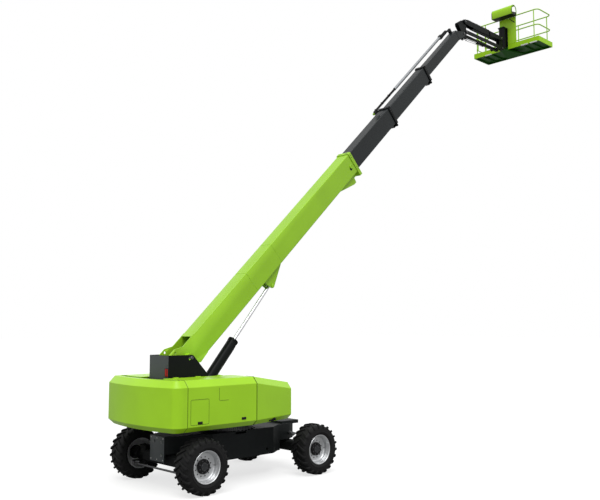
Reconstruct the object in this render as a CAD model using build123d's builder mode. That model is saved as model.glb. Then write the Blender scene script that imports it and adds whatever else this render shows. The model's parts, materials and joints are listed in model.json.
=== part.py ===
from build123d import *
import os
from math import atan2, cos, degrees, hypot, radians, sin

# Telescopic boom lift, a full-size self-propelled machine, in millimetres.
# Working frame: X forward along the boom, Y to the left, Z up. The ground is Z 0 and the working
# origin lies on the ground under the middle of the four wheels. Pieces are written with the
# origin under the middle of the whole machine instead, as the last section says.

# Wheels
WHEELBASE = 3006
TRACK = 2320
TYRE_RADIUS = 535
TYRE_WIDTH = 400
TYRE_SIDES = 40
CARCASS_RADIUS = 502
CARCASS_HALF_WIDTH = 194
CARCASS_CROWN_HALF_WIDTH = 150
CARCASS_SHOULDER_DROP = 32
LUGS_A_SIDE = 20
LUG_SLANT = 30
LUG_THICKNESS = 34
LUG_SHOULDER_LENGTH = 48
LUG_SHOULDER_DROP = 18
LUG_DEPTH = 45
RIM_SEAT_RADIUS = 296
RIM_FLANGE_RADIUS = 313
RIM_FLANGE_INSET = 22
RIM_WALL = 14
RIM_DISH_RADIUS = 262
RIM_DISC_INSIDE = 20
RIM_DISC_OUTSIDE = 38
HUB_DRUM_RADIUS = 142
HUB_DRUM_FACE = 83
HUB_DRUM_CHAMFER = 13
HUB_CAP_RADIUS = 80
HUB_CAP_FACE = 95
RUBBER_GAP = 0.2

# Steering
KINGPIN_Y = 860
KNUCKLE_RADIUS = 74
KNUCKLE_HALF_HEIGHT = 128
DRIVE_HOUSING_RADIUS = 118
STEERING_ARM_LENGTH = 240
STEERING_ARM_Z = 400
BALL_JOINT_RADIUS = 30
TIE_ROD_RADIUS = 20

# Axles
AXLE_HALF_LENGTH = 790
AXLE_DEPTH = 240
AXLE_HEIGHT = 220
YOKE_RADIUS = 88
YOKE_THICKNESS = 55
RUNNING_GAP = 6
PIN_FIT = 0.05

# Chassis frame
FRAME_BOTTOM_Z = 450
FRAME_TOP_Z = 1010
FRAME_HALF_WIDTH = 600
FRAME_NECK_HALF_WIDTH = 400
FRAME_END_HALF_WIDTH = 250
FRAME_WAIST_X = 820
FRAME_NECK_X = 1130
FRAME_END_X = 1720
FRAME_END_TAPER = 260
FRAME_STEP = 60
FRAME_NECK_BOTTOM_Z = 665
FRAME_PLATE = 25
FRAME_NOTCH = (-230, 50, 30, 60)
REAR_PLATE_BOTTOM_Z = 510
FRONT_BEAM = (1300, 1820, 330)
FRONT_BEAM_TOP_Z = 1060
TIE_DOWN_HOLE = 60
SLEW_RING_RADIUS = 540
SLEW_RING_BORE = 330
SLEW_RING_HEIGHT = 100
BEARING_GAP = 0.3

# Turntable and hoods
DECK_BOTTOM_Z = 1200
DECK_PLATE = 50
DECK_MARGIN = 40
HOOD_BOTTOM_Z = 1190
HOOD_LOW_EDGE_Z = 1290
HOOD_HIGH_EDGE_Z = 2030
HOOD_TOP_Z = 2160
HOOD_HALF_WIDTH = 1250
HOOD_CHAMFER = 120
HOOD_REAR_X = -2360
HOOD_REAR_SEAM_X = -1910
HOOD_FRONT_SEAM_X = -210
NOSE_FRONT_X = 1020
NOSE_HALF_WIDTH = 950
NOSE_TOP_Z = 1970
NOSE_HIGH_EDGE_Z = 1840
HOOD_SKIN = 20
PANEL_GAP = 8
TROUGH_HALF_WIDTH = 400
INNER_WALL = 12
DOOR_HINGE_RADIUS = 9
DOOR_HINGE_LENGTH = 120
DOOR_HINGE_INSET = 240
REAR_CORNER_RADIUS = 260
REAR_BOW = 160
COUNTERWEIGHT_RIM = 130
COUNTERWEIGHT_RECESS = 90
ENGINE_SIZE = (1050, 560, 620)
TANK_SIZE = (1150, 520, 560)

# Pedestal that carries the boom
PEDESTAL_HALF_WIDTH = 340
PEDESTAL_PLATE = 30
PEDESTAL_REAR_X = -1738
PEDESTAL_TOP_Z = 2600
PEDESTAL_FRONT_TOP_X = -1148
PEDESTAL_SHOULDER = (-768, 2200)
PEDESTAL_FOOT_X = -658
LAMP_SIZE = (18, 42, 150)

# Boom
BOOM_ANGLE = 43.6
PIVOT_X = -1170
PIVOT_Z = 2540
PIVOT_PIN_RADIUS = 60
BASE_START = 360
BASE_END = 7050
BASE_FLANGE = 40
BASE_REAR_PLATE = 25
BASE_EAR_HOLE = (-162, 291)
BASE_EAR_HOLE_RADIUS = 28
TUBE_CORNER = 24
SLIDE_GAP = 0.3
COLLAR_LENGTH = 90
COLLAR_RISE = 20
REAR_PAD_LENGTH = 80
SHEAVE_BOX_BACK = 150
SHEAVE_BOX_FRONT = 20
SHEAVE_BOX_DEPTH = 120
# name, half width, lowest and highest face across the boom, wall, start and end along the boom
SECTION_COLUMNS = ("name", "half_width", "low", "high", "wall", "start", "end")
SECTIONS = [
    ("boom_base", 190, -280, 250, 10, BASE_START, BASE_END),
    ("boom_section_2", 166, -256, 226, 9, 2700, 9290),
    ("boom_section_3", 144, -234, 203, 8, 5060, 11540),
    ("boom_section_4", 122, -130, 178, 8, 7500, 13800),
]
HEAD_PIN = (14100, -115)
HEAD_PIN_RADIUS = 30
HEAD_PLATE = 20
HEAD_NOSE_RADIUS = 74

# Pipe that carries the hoses over the boom
PIPE_RADIUS = 40
PIPE_ACROSS = 352
PIPE_Y = 60
PIPE_START = 10100
PIPE_END = 13220
HOSE_RADIUS = 32
HOSE_START = 8850
CLAMP_WIDTH = 96
CLAMP_LENGTH = 130
CLAMP_ARM_DROP = 52
CLAMP_ARM_WIDTH = 60
CLAMP_ARM_HEIGHT = 30
CLAMP_FOOT_END = 13780
CLAMP_FOOT_LENGTH = 110

# Lift cylinder under the boom
LIFT_EYE = (2800, -500)
LIFT_EYE_RADIUS = 50
LIFT_EYE_HALF_WIDTH = 60
LIFT_LUG_Y = 92
LIFT_LUG_PLATE = 24
LIFT_LUG_RADIUS = 66
LIFT_FOOT_X = -860
LIFT_FOOT_Z = 1640
LIFT_FOOT_PIN_RADIUS = 45
LIFT_BARREL_RADIUS = 112
LIFT_BARREL_WALL = 14
LIFT_BARREL_LENGTH = 1610
LIFT_ROD_RADIUS = 39
LIFT_PISTON_AT = 970
LIFT_PISTON_LENGTH = 90

# Jib: two parallel arms between the level bracket and the platform support
UPPER_PIN_FROM_HEAD = (120, 440)
LOWER_PIN_FROM_UPPER = (20, -340)
CYLINDER_FOOT_FROM_LOWER = (40, -160)
JIB_LENGTH = 2060
JIB_PIN_RADIUS = 25
JIB_ARM_HALF_WIDTH = 80
JIB_ARM_HEIGHT = 200
JIB_ARM_WALL = 8
JIB_ARM_START = 130
JIB_ARM_END = 1450
JIB_NOTCH_END = 480
JIB_NOTCH_DEPTH = 28
JIB_EAR_INSIDE = 80
JIB_EAR_PLATE = 22
JIB_EAR_RADIUS = 66
JIB_LINK_INSIDE = 110
JIB_LINK_PLATE = 20
JIB_LINK_HEIGHT = 116
JIB_CROSS_TUBE_AT = 1780
JIB_CROSS_TUBE_DROP = 70
JIB_CROSS_TUBE_RADIUS = 32
BRACKET_OUTSIDE = 66
BRACKET_PLATE = 22
JIB_BARREL_RADIUS = 42
JIB_BARREL_LENGTH = 1060
JIB_ROD_INSIDE = 700
JIB_ROD_RADIUS = 20
JIB_EYE_RADIUS = 46
JIB_EYE_HALF_WIDTH = 34

# Platform, set out from the jib's far pins and the rotary drive
ROTATOR_AHEAD = 230
ROTATOR_RISE = 50
ROTATOR_RADIUS = 105
ROTATOR_HEIGHT = 710
MOUNT_PLATE = 30
PLATFORM_AHEAD = 176
PLATFORM_RISE = 76
PLATFORM_DEPTH = 898
PLATFORM_HALF_WIDTH = 1220
FLOOR_PLATE = 6
FLOOR_BEAM = 50
TOE_BOARD_HEIGHT = 165
TOE_BOARD_PLATE = 4
TREAD_SHEET = 5
TREAD_SHEET_INSET = 100
TOP_RAIL_HEIGHT = 1084
MID_RAIL_DROP = 510
RAIL_RADIUS = 19
POST_RADIUS = 16
RAIL_CORNER_RADIUS = 130
RAIL_BEND_STEPS = 4
GATE_POST_AT = 150
GATE_TUBE_RADIUS = 15
GATE_SLEEVE = 7
GATE_SLEEVE_HEIGHT = 60
GATE_LOW_BAR_DROP = 230
GATE_HIGH_BAR_RISE = 160
GATE_TOP_BAR_INSET = 59
CONSOLE_REACH = 296
CONSOLE_DROP = 40
CONSOLE_HEIGHT = 340
CONSOLE_Y = (-450, 320)
PANEL_Y = (-420, 200)
CONSOLE_SHELL = 4

# What follows from the sizes above
AXLE_X = WHEELBASE / 2
WHEEL_Y = TRACK / 2
DRIVE_HOUSING_END_Y = WHEEL_Y + RIM_DISC_INSIDE - SLIDE_GAP
BOOM_COS = cos(radians(BOOM_ANGLE))
BOOM_SIN = sin(radians(BOOM_ANGLE))


def boom_point(along, across):
    """Give the X and Z of a place that is measured along and across the boom from its pivot."""
    return (
        PIVOT_X + along * BOOM_COS - across * BOOM_SIN,
        PIVOT_Z + along * BOOM_SIN + across * BOOM_COS,
    )


LIFT_EYE_X, LIFT_EYE_Z = boom_point(*LIFT_EYE)
HEAD_PIN_X, HEAD_PIN_Z = boom_point(*HEAD_PIN)
LIFT_LENGTH = hypot(LIFT_EYE_X - LIFT_FOOT_X, LIFT_EYE_Z - LIFT_FOOT_Z)
LIFT_ANGLE = degrees(atan2(LIFT_EYE_Z - LIFT_FOOT_Z, LIFT_EYE_X - LIFT_FOOT_X))
JIB_UPPER_PIN = (HEAD_PIN_X + UPPER_PIN_FROM_HEAD[0], HEAD_PIN_Z + UPPER_PIN_FROM_HEAD[1])
JIB_LOWER_PIN = (
    JIB_UPPER_PIN[0] + LOWER_PIN_FROM_UPPER[0], JIB_UPPER_PIN[1] + LOWER_PIN_FROM_UPPER[1]
)
JIB_CYLINDER_FOOT = (
    JIB_LOWER_PIN[0] + CYLINDER_FOOT_FROM_LOWER[0], JIB_LOWER_PIN[1] + CYLINDER_FOOT_FROM_LOWER[1]
)
JIB_UPPER_END = (JIB_UPPER_PIN[0] + JIB_LENGTH, JIB_UPPER_PIN[1])
JIB_LOWER_END = (JIB_LOWER_PIN[0] + JIB_LENGTH, JIB_LOWER_PIN[1])
JIB_CROSS_TUBE = (JIB_LOWER_PIN[0] + JIB_CROSS_TUBE_AT, JIB_LOWER_PIN[1] - JIB_CROSS_TUBE_DROP)
JIB_CYLINDER_LENGTH = hypot(
    JIB_CYLINDER_FOOT[0] - JIB_CROSS_TUBE[0], JIB_CYLINDER_FOOT[1] - JIB_CROSS_TUBE[1]
)
JIB_CYLINDER_ANGLE = degrees(
    atan2(JIB_CYLINDER_FOOT[1] - JIB_CROSS_TUBE[1], JIB_CYLINDER_FOOT[0] - JIB_CROSS_TUBE[0])
)
ROTATOR_X = JIB_UPPER_END[0] + ROTATOR_AHEAD
ROTATOR_BOTTOM_Z = JIB_LOWER_END[1] + ROTATOR_RISE
ROTATOR_TOP_Z = ROTATOR_BOTTOM_Z + ROTATOR_HEIGHT
PLATFORM_REAR_X = ROTATOR_X + PLATFORM_AHEAD
PLATFORM_FRONT_X = PLATFORM_REAR_X + PLATFORM_DEPTH
PLATFORM_BOTTOM_Z = JIB_LOWER_END[1] + PLATFORM_RISE
TOP_RAIL_Z = PLATFORM_BOTTOM_Z + TOP_RAIL_HEIGHT
MID_RAIL_Z = TOP_RAIL_Z - MID_RAIL_DROP
CONSOLE_REAR_X = PLATFORM_REAR_X - CONSOLE_REACH
CONSOLE_Z = (TOP_RAIL_Z - CONSOLE_DROP, TOP_RAIL_Z - CONSOLE_DROP + CONSOLE_HEIGHT)
MIDDLE_X = (HOOD_REAR_X + PLATFORM_FRONT_X) / 2


def side_plane(x, z, angle=0):
    """Give an upright fore-and-aft plane, with its x axis turned up by the angle."""
    turn = radians(angle)
    return Plane(origin=(x, 0, z), x_dir=(cos(turn), 0, sin(turn)), z_dir=(0, -1, 0))


def cross_plane(x, z, angle=0):
    """Give the plane across a bar that runs from x, z at the angle; its y axis points up."""
    turn = radians(angle)
    return Plane(origin=(x, 0, z), x_dir=(0, 1, 0), z_dir=(cos(turn), 0, sin(turn)))


def boom_cross_plane(along):
    """Give the plane across the boom at a place along it."""
    x, z = boom_point(along, 0)
    return cross_plane(x, z, BOOM_ANGLE)


def save(piece, name):
    """Name a finished piece and write it, with the origin under the middle of the machine."""
    moved = piece.moved(Location((-MIDDLE_X, 0, 0)))
    moved.label = name
    export_step(moved, f"parts/{name}.step")


def plates_along_y(plane, outline, inside, thickness):
    """Make a pair of equal plates, one on each side of the machine's middle."""
    with BuildPart() as pair:
        for side in (-1, 1):
            with BuildSketch(plane.offset(side * (inside + thickness / 2))):
                add(outline)
            extrude(amount=thickness / 2, both=True)
    return pair.part


def cylinder_along_y(x, z, radius, half_length):
    """Make a pin or boss that crosses the machine's middle."""
    with BuildPart() as pin:
        with BuildSketch(side_plane(x, z)):
            Circle(radius)
        extrude(amount=half_length, both=True)
    return pin.part


def tube_section(half_width, low, high, corner):
    """Draw a rounded rectangle across the boom."""
    with BuildSketch(Plane.XY) as section:
        with Locations((0, (low + high) / 2)):
            RectangleRounded(2 * half_width, high - low, corner)
    return section.sketch


os.makedirs("parts", exist_ok=True)


# Chassis frame: a hollow box, waisted at the axles, with a raised belly between the wheels
def frame_outline(inset):
    """Draw the frame from above, pulled in by the inset."""
    half_outline = [
        (0, FRAME_HALF_WIDTH - inset),
        (FRAME_WAIST_X, FRAME_HALF_WIDTH - inset),
        (FRAME_NECK_X, FRAME_NECK_HALF_WIDTH - inset),
        (FRAME_END_X - FRAME_END_TAPER, FRAME_NECK_HALF_WIDTH - inset),
        (FRAME_END_X - inset, FRAME_END_HALF_WIDTH - inset),
        (FRAME_END_X - inset, 0),
        (0, 0),
    ]
    with BuildSketch(Plane.XY) as outline:
        with BuildLine():
            Polyline(*half_outline, close=True)
        make_face()
        mirror(about=Plane.XZ)
        mirror(about=Plane.YZ)
    return outline.sketch


with BuildPart() as chassis_frame:
    with BuildSketch(Plane.XY.offset(FRAME_BOTTOM_Z)):
        add(frame_outline(0))
    extrude(amount=FRAME_TOP_Z - FRAME_BOTTOM_Z)
    with BuildSketch(Plane.XY.offset(FRAME_BOTTOM_Z + FRAME_PLATE)):
        add(frame_outline(FRAME_PLATE))
    extrude(amount=FRAME_TOP_Z - FRAME_BOTTOM_Z - 2 * FRAME_PLATE, mode=Mode.SUBTRACT)
    # Each neck is cut away above the axle and closed again by a floor plate
    for end in (-1, 1):
        neck_middle = end * (FRAME_NECK_X + FRAME_STEP + FRAME_END_X) / 2
        neck_length = FRAME_END_X - FRAME_NECK_X - FRAME_STEP
        with BuildSketch(Plane.XY.offset(FRAME_BOTTOM_Z)):
            with Locations((neck_middle, 0)):
                Rectangle(neck_length + 2, 2 * FRAME_HALF_WIDTH)
        extrude(amount=FRAME_NECK_BOTTOM_Z - FRAME_BOTTOM_Z, mode=Mode.SUBTRACT)
        with BuildSketch(Plane.XY.offset(FRAME_NECK_BOTTOM_Z)):
            add(frame_outline(0))
            with Locations((-end * (FRAME_END_X - neck_length), 0)):
                Rectangle(2 * FRAME_END_X, 2 * FRAME_HALF_WIDTH, mode=Mode.SUBTRACT)
        extrude(amount=FRAME_PLATE)
        step_x = end * (FRAME_END_X - neck_length - FRAME_PLATE / 2)
        with BuildSketch(Plane.XY.offset(FRAME_BOTTOM_Z)):
            with Locations((step_x, 0)):
                Rectangle(FRAME_PLATE, 2 * FRAME_NECK_HALF_WIDTH)
        extrude(amount=FRAME_NECK_BOTTOM_Z - FRAME_BOTTOM_Z + FRAME_PLATE)
        # Saddle plates carry the axle under the neck
        with BuildSketch(Plane.XY.offset(FRAME_NECK_BOTTOM_Z)):
            with Locations((end * AXLE_X, 0)):
                Rectangle(AXLE_DEPTH, 2 * FRAME_END_HALF_WIDTH)
        extrude(amount=-(FRAME_NECK_BOTTOM_Z - TYRE_RADIUS - AXLE_HEIGHT / 2))
    # Tie-down holes through the side plates
    with BuildSketch(Plane.XZ):
        with Locations((-640, FRAME_BOTTOM_Z + 110), (640, FRAME_BOTTOM_Z + 110)):
            Circle(TIE_DOWN_HOLE / 2)
    extrude(amount=2 * FRAME_HALF_WIDTH, both=True, mode=Mode.SUBTRACT)
    # Notch in the upper edge of each side
    notch_rear, notch_front, notch_reach, notch_depth = FRAME_NOTCH
    with BuildSketch(Plane.XY.offset(FRAME_TOP_Z)):
        for side in (-1, 1):
            with Locations(((notch_rear + notch_front) / 2, side * FRAME_HALF_WIDTH)):
                Rectangle(notch_front - notch_rear, 2 * notch_reach)
    extrude(amount=-notch_depth, mode=Mode.SUBTRACT)
    # Deep plate across the rear end, and a wide beam on top of the front end
    with BuildSketch(Plane.YZ.offset(-FRAME_END_X)):
        with Locations((0, (REAR_PLATE_BOTTOM_Z + FRAME_TOP_Z) / 2)):
            Rectangle(2 * FRAME_END_HALF_WIDTH, FRAME_TOP_Z - REAR_PLATE_BOTTOM_Z)
    extrude(amount=-FRAME_PLATE)
    beam_rear, beam_front, beam_half_width = FRONT_BEAM
    with BuildSketch(Plane.XY.offset(FRAME_TOP_Z - FRAME_PLATE)):
        with Locations(((beam_rear + beam_front) / 2, 0)):
            Rectangle(beam_front - beam_rear, 2 * beam_half_width)
    extrude(amount=FRONT_BEAM_TOP_Z - FRAME_TOP_Z + FRAME_PLATE)
save(chassis_frame.part, "chassis_frame")

with BuildPart() as slew_ring:
    with BuildSketch(Plane.XY.offset(FRAME_TOP_Z)):
        Circle(SLEW_RING_RADIUS)
        Circle(SLEW_RING_BORE, mode=Mode.SUBTRACT)
    extrude(amount=SLEW_RING_HEIGHT)
save(slew_ring.part, "slew_ring")


# Axles: a box beam with a forked yoke for the kingpin at each end
for end, axle_name in ((1, "axle_front"), (-1, "axle_rear")):
    with BuildPart() as axle:
        with BuildSketch(Plane.XY.offset(TYRE_RADIUS)):
            with Locations((end * AXLE_X, 0)):
                Rectangle(AXLE_DEPTH, 2 * (AXLE_HALF_LENGTH - 110))
        extrude(amount=AXLE_HEIGHT / 2, both=True)
        chamfer(axle.edges().filter_by(Axis.Y), length=30)
        for side in (-1, 1):
            # The fork's web rises to both arms just inboard of the knuckle
            with BuildSketch(Plane.XY.offset(TYRE_RADIUS)):
                with Locations((end * AXLE_X, side * (AXLE_HALF_LENGTH - 85))):
                    Rectangle(2 * YOKE_RADIUS, 70)
            extrude(amount=KNUCKLE_HALF_HEIGHT + RUNNING_GAP + YOKE_THICKNESS, both=True)
            for level in (-1, 1):
                near = KNUCKLE_HALF_HEIGHT + RUNNING_GAP
                middle_z = TYRE_RADIUS + level * (near + YOKE_THICKNESS / 2)
                with BuildSketch(Plane.XY.offset(middle_z)):
                    with Locations((end * AXLE_X, side * KINGPIN_Y)):
                        Circle(YOKE_RADIUS)
                    with Locations((end * AXLE_X, side * (KINGPIN_Y - 70))):
                        Rectangle(2 * YOKE_RADIUS, 140)
                extrude(amount=YOKE_THICKNESS / 2, both=True)
            # Kingpin
            with BuildSketch(Plane.XY.offset(TYRE_RADIUS)):
                with Locations((end * AXLE_X, side * KINGPIN_Y)):
                    Circle(HEAD_PIN_RADIUS)
            extrude(amount=KNUCKLE_HALF_HEIGHT + RUNNING_GAP + YOKE_THICKNESS + 15, both=True)
    save(axle.part, axle_name)


# Steered knuckles with the wheel drives, and the tie rods that join their arms
CORNERS = [("front_left", 1, 1), ("front_right", 1, -1), ("rear_left", -1, 1), ("rear_right", -1, -1)]
for corner, end, side in CORNERS:
    arm_x = end * (AXLE_X + STEERING_ARM_LENGTH)
    arm_y = side * KINGPIN_Y
    with BuildPart() as knuckle:
        with BuildSketch(Plane.XY.offset(TYRE_RADIUS)):
            with Locations((end * AXLE_X, side * KINGPIN_Y)):
                Circle(KNUCKLE_RADIUS)
        extrude(amount=KNUCKLE_HALF_HEIGHT, both=True)
        with BuildSketch(Plane.XZ.offset(-side * KINGPIN_Y)):
            with Locations((end * AXLE_X, TYRE_RADIUS)):
                Circle(DRIVE_HOUSING_RADIUS * 0.6)
        extrude(amount=-side * (DRIVE_HOUSING_END_Y - KINGPIN_Y))
        with BuildSketch(Plane.XZ.offset(-side * (KINGPIN_Y + YOKE_RADIUS + RUNNING_GAP))):
            with Locations((end * AXLE_X, TYRE_RADIUS)):
                Circle(DRIVE_HOUSING_RADIUS)
        extrude(amount=-side * (DRIVE_HOUSING_END_Y - KINGPIN_Y - YOKE_RADIUS - RUNNING_GAP))
        # Steering arm
        with BuildSketch(Plane.XY.offset(STEERING_ARM_Z + 10)):
            with BuildLine():
                CenterArc((arm_x, arm_y), BALL_JOINT_RADIUS + 6, 0, 360)
                CenterArc((end * AXLE_X, side * KINGPIN_Y), KNUCKLE_RADIUS - 14, 0, 360)
            make_hull()
        extrude(amount=30)
        with BuildSketch(Plane.XY.offset(TYRE_RADIUS)):
            with Locations((end * AXLE_X, side * KINGPIN_Y)):
                Circle(HEAD_PIN_RADIUS + PIN_FIT)
        extrude(amount=2 * KNUCKLE_HALF_HEIGHT, both=True, mode=Mode.SUBTRACT)
        # Ball stud under the arm
        with BuildSketch(Plane.XY.offset(STEERING_ARM_Z + 10)):
            with Locations((arm_x, arm_y)):
                Circle(BALL_JOINT_RADIUS / 2)
        extrude(amount=-60)
    save(knuckle.part, "knuckle_" + corner)

for end, axle_name in ((1, "tie_rod_front"), (-1, "tie_rod_rear")):
    rod_x = end * (AXLE_X + STEERING_ARM_LENGTH)
    rod_z = STEERING_ARM_Z - 25
    with BuildPart() as tie_rod:
        with BuildSketch(Plane.XZ.offset(-KINGPIN_Y)):
            with Locations((rod_x, rod_z)):
                Circle(TIE_ROD_RADIUS)
        extrude(amount=2 * KINGPIN_Y)
        for side in (-1, 1):
            with BuildSketch(Plane.XY.offset(rod_z)):
                with Locations((rod_x, side * KINGPIN_Y)):
                    Circle(BALL_JOINT_RADIUS)
            extrude(amount=28, both=True)
        for side in (-1, 1):
            with BuildSketch(Plane.XY.offset(rod_z)):
                with Locations((rod_x, side * KINGPIN_Y)):
                    Circle(BALL_JOINT_RADIUS / 2 + PIN_FIT)
            extrude(amount=60, both=True, mode=Mode.SUBTRACT)
    save(tie_rod.part, axle_name)


# Wheels: a lugged tyre on a deep dished rim that carries the hub drive's drum
half_tyre = TYRE_WIDTH / 2
side_turn = 180 / TYRE_SIDES
shoulder_radius = CARCASS_RADIUS - CARCASS_SHOULDER_DROP
seat_corner = (RIM_SEAT_RADIUS + RUBBER_GAP) / cos(radians(side_turn))
bead_corner = (RIM_FLANGE_RADIUS + 4) / cos(radians(side_turn))
bead_side = half_tyre - RIM_FLANGE_INSET - RIM_WALL - RUBBER_GAP
# A lug slants across half the tread; its inner end carries the corner that touches the ground
slant_sin = sin(radians(LUG_SLANT))
slant_cos = cos(radians(LUG_SLANT))
lug_half_length = (half_tyre - LUG_THICKNESS * slant_sin) / (2 * slant_cos)
lug_reach = lug_half_length * slant_sin + LUG_THICKNESS / 2 * slant_cos
lug_top = (TYRE_RADIUS**2 - lug_reach**2) ** 0.5
lug_start_angle = degrees(atan2(lug_reach, lug_top))
lug_bend = lug_half_length - LUG_SHOULDER_LENGTH
with BuildPart() as lug_bar:
    with BuildSketch(Plane.YZ):
        with BuildLine():
            Polyline(
                (-lug_half_length, lug_top - LUG_DEPTH),
                (-lug_half_length, lug_top),
                (lug_bend, lug_top),
                (lug_half_length, lug_top - LUG_SHOULDER_DROP),
                (lug_half_length, lug_top - LUG_SHOULDER_DROP - LUG_DEPTH - 15),
                (lug_bend, lug_top - LUG_DEPTH),
                close=True,
            )
        make_face()
    extrude(amount=LUG_THICKNESS / 2, both=True)
left_lug = Pos(0, half_tyre / 2, 0) * Rot(0, 0, -LUG_SLANT) * lug_bar.part
right_lug = left_lug.mirror(Plane.XZ)
lug_step = 360 / LUGS_A_SIDE
lugs = []
for place in range(LUGS_A_SIDE):
    lug_angle = 180 + lug_start_angle + place * lug_step
    lugs.append(Rot(0, lug_angle, 0) * left_lug)
    lugs.append(Rot(0, lug_angle + lug_step / 2, 0) * right_lug)
with BuildPart() as tyre:
    for side_y, corner_radius in (
        (-CARCASS_HALF_WIDTH, shoulder_radius),
        (-CARCASS_CROWN_HALF_WIDTH, CARCASS_RADIUS),
        (CARCASS_CROWN_HALF_WIDTH, CARCASS_RADIUS),
        (CARCASS_HALF_WIDTH, shoulder_radius),
    ):
        with BuildSketch(Plane.XZ.offset(-side_y)):
            RegularPolygon(corner_radius, TYRE_SIDES)
    loft(ruled=True)
    add(lugs)
    with BuildSketch(Plane.XZ):
        RegularPolygon(seat_corner, TYRE_SIDES)
    extrude(amount=half_tyre + 1, both=True, mode=Mode.SUBTRACT)
    for side in (-1, 1):
        with BuildSketch(Plane.XZ.offset(side * bead_side)):
            RegularPolygon(bead_corner, TYRE_SIDES)
        extrude(amount=side * half_tyre, mode=Mode.SUBTRACT)

flange_side = half_tyre - RIM_FLANGE_INSET
rim_profile = [
    (RIM_FLANGE_RADIUS, -flange_side),
    (RIM_FLANGE_RADIUS, -flange_side + RIM_WALL),
    (RIM_SEAT_RADIUS, -flange_side + RIM_WALL),
    (RIM_SEAT_RADIUS, flange_side - RIM_WALL),
    (RIM_FLANGE_RADIUS, flange_side - RIM_WALL),
    (RIM_FLANGE_RADIUS, flange_side),
    (RIM_SEAT_RADIUS - RIM_WALL, flange_side - 10),
    (RIM_DISH_RADIUS + 8, RIM_DISC_OUTSIDE + 22),
    (RIM_DISH_RADIUS, RIM_DISC_OUTSIDE),
    (HUB_DRUM_RADIUS, RIM_DISC_OUTSIDE),
    (HUB_DRUM_RADIUS, HUB_DRUM_FACE - HUB_DRUM_CHAMFER),
    (HUB_DRUM_RADIUS - HUB_DRUM_CHAMFER, HUB_DRUM_FACE),
    (HUB_CAP_RADIUS, HUB_DRUM_FACE),
    (HUB_CAP_RADIUS, HUB_CAP_FACE),
    (0, HUB_CAP_FACE),
    (0, RIM_DISC_INSIDE),
    (RIM_DISH_RADIUS - 2, RIM_DISC_INSIDE),
    (RIM_SEAT_RADIUS - RIM_WALL, -flange_side),
]
with BuildPart() as rim:
    with BuildSketch(Plane.XY):
        with BuildLine():
            Polyline(*rim_profile, close=True)
        make_face()
    revolve(axis=Axis.Y)
for corner, end, side in CORNERS:
    wheel_place = Pos(end * AXLE_X, side * WHEEL_Y, TYRE_RADIUS)
    for wheel_part, wheel_name in ((tyre.part, "tyre_"), (rim.part, "rim_")):
        outward = wheel_part if side > 0 else wheel_part.mirror(Plane.XZ)
        save(wheel_place * outward, wheel_name + corner)


# Turntable: counterweight, two side hoods with lifting doors, and a nose on each side
def hood_outline(inset):
    """Draw the whole turntable from above, pulled in by the inset."""
    wide = HOOD_HALF_WIDTH - inset
    rear = HOOD_REAR_X + inset
    corner = REAR_CORNER_RADIUS - inset
    bow_end_x = rear + REAR_BOW * (wide / HOOD_HALF_WIDTH) ** 2
    corner_x = bow_end_x + 0.77 * corner
    with BuildSketch(Plane.XY) as outline:
        with BuildLine():
            Polyline(
                (corner_x, wide),
                (HOOD_FRONT_SEAM_X, wide),
                (NOSE_FRONT_X - inset, NOSE_HALF_WIDTH - inset),
                (NOSE_FRONT_X - inset, -NOSE_HALF_WIDTH + inset),
                (HOOD_FRONT_SEAM_X, -wide),
                (corner_x, -wide),
            )
            ThreePointArc(
                (corner_x, -wide),
                (bow_end_x + 0.32 * corner, -wide + 0.125 * corner),
                (bow_end_x, -wide + 0.46 * corner),
            )
            ThreePointArc(
                (bow_end_x, -wide + 0.46 * corner),
                (rear, 0),
                (bow_end_x, wide - 0.46 * corner),
            )
            ThreePointArc(
                (bow_end_x, wide - 0.46 * corner),
                (bow_end_x + 0.32 * corner, wide - 0.125 * corner),
                (corner_x, wide),
            )
        make_face()
    return outline.sketch


with BuildPart() as turntable_deck:
    with BuildSketch(Plane.XY.offset(DECK_BOTTOM_Z)):
        add(hood_outline(HOOD_CHAMFER + DECK_MARGIN))
        with Locations(((HOOD_REAR_X + HOOD_REAR_SEAM_X) / 2 + SLIDE_GAP, 0)):
            Rectangle(HOOD_REAR_SEAM_X - HOOD_REAR_X, 2 * HOOD_HALF_WIDTH, mode=Mode.SUBTRACT)
    extrude(amount=DECK_PLATE)
    # Bearing drum on the slewing ring
    bearing_z = FRAME_TOP_Z + SLEW_RING_HEIGHT + BEARING_GAP
    with BuildSketch(Plane.XY.offset(bearing_z)):
        Circle(SLEW_RING_RADIUS - 30)
        Circle(SLEW_RING_BORE, mode=Mode.SUBTRACT)
    extrude(amount=DECK_BOTTOM_Z - bearing_z)
    # Inner walls beside the trough that the boom lies in
    deck_top_z = DECK_BOTTOM_Z + DECK_PLATE
    wall_length = HOOD_FRONT_SEAM_X - HOOD_REAR_SEAM_X - 2 * PANEL_GAP
    wall_middle = (HOOD_FRONT_SEAM_X + HOOD_REAR_SEAM_X) / 2
    with BuildSketch(Plane.XY.offset(deck_top_z)):
        for side in (-1, 1):
            with Locations((wall_middle, side * (TROUGH_HALF_WIDTH + INNER_WALL / 2))):
                Rectangle(wall_length, INNER_WALL)
    extrude(amount=HOOD_TOP_Z - HOOD_SKIN - SLIDE_GAP - deck_top_z)
save(turntable_deck.part, "turntable_deck")

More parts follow.
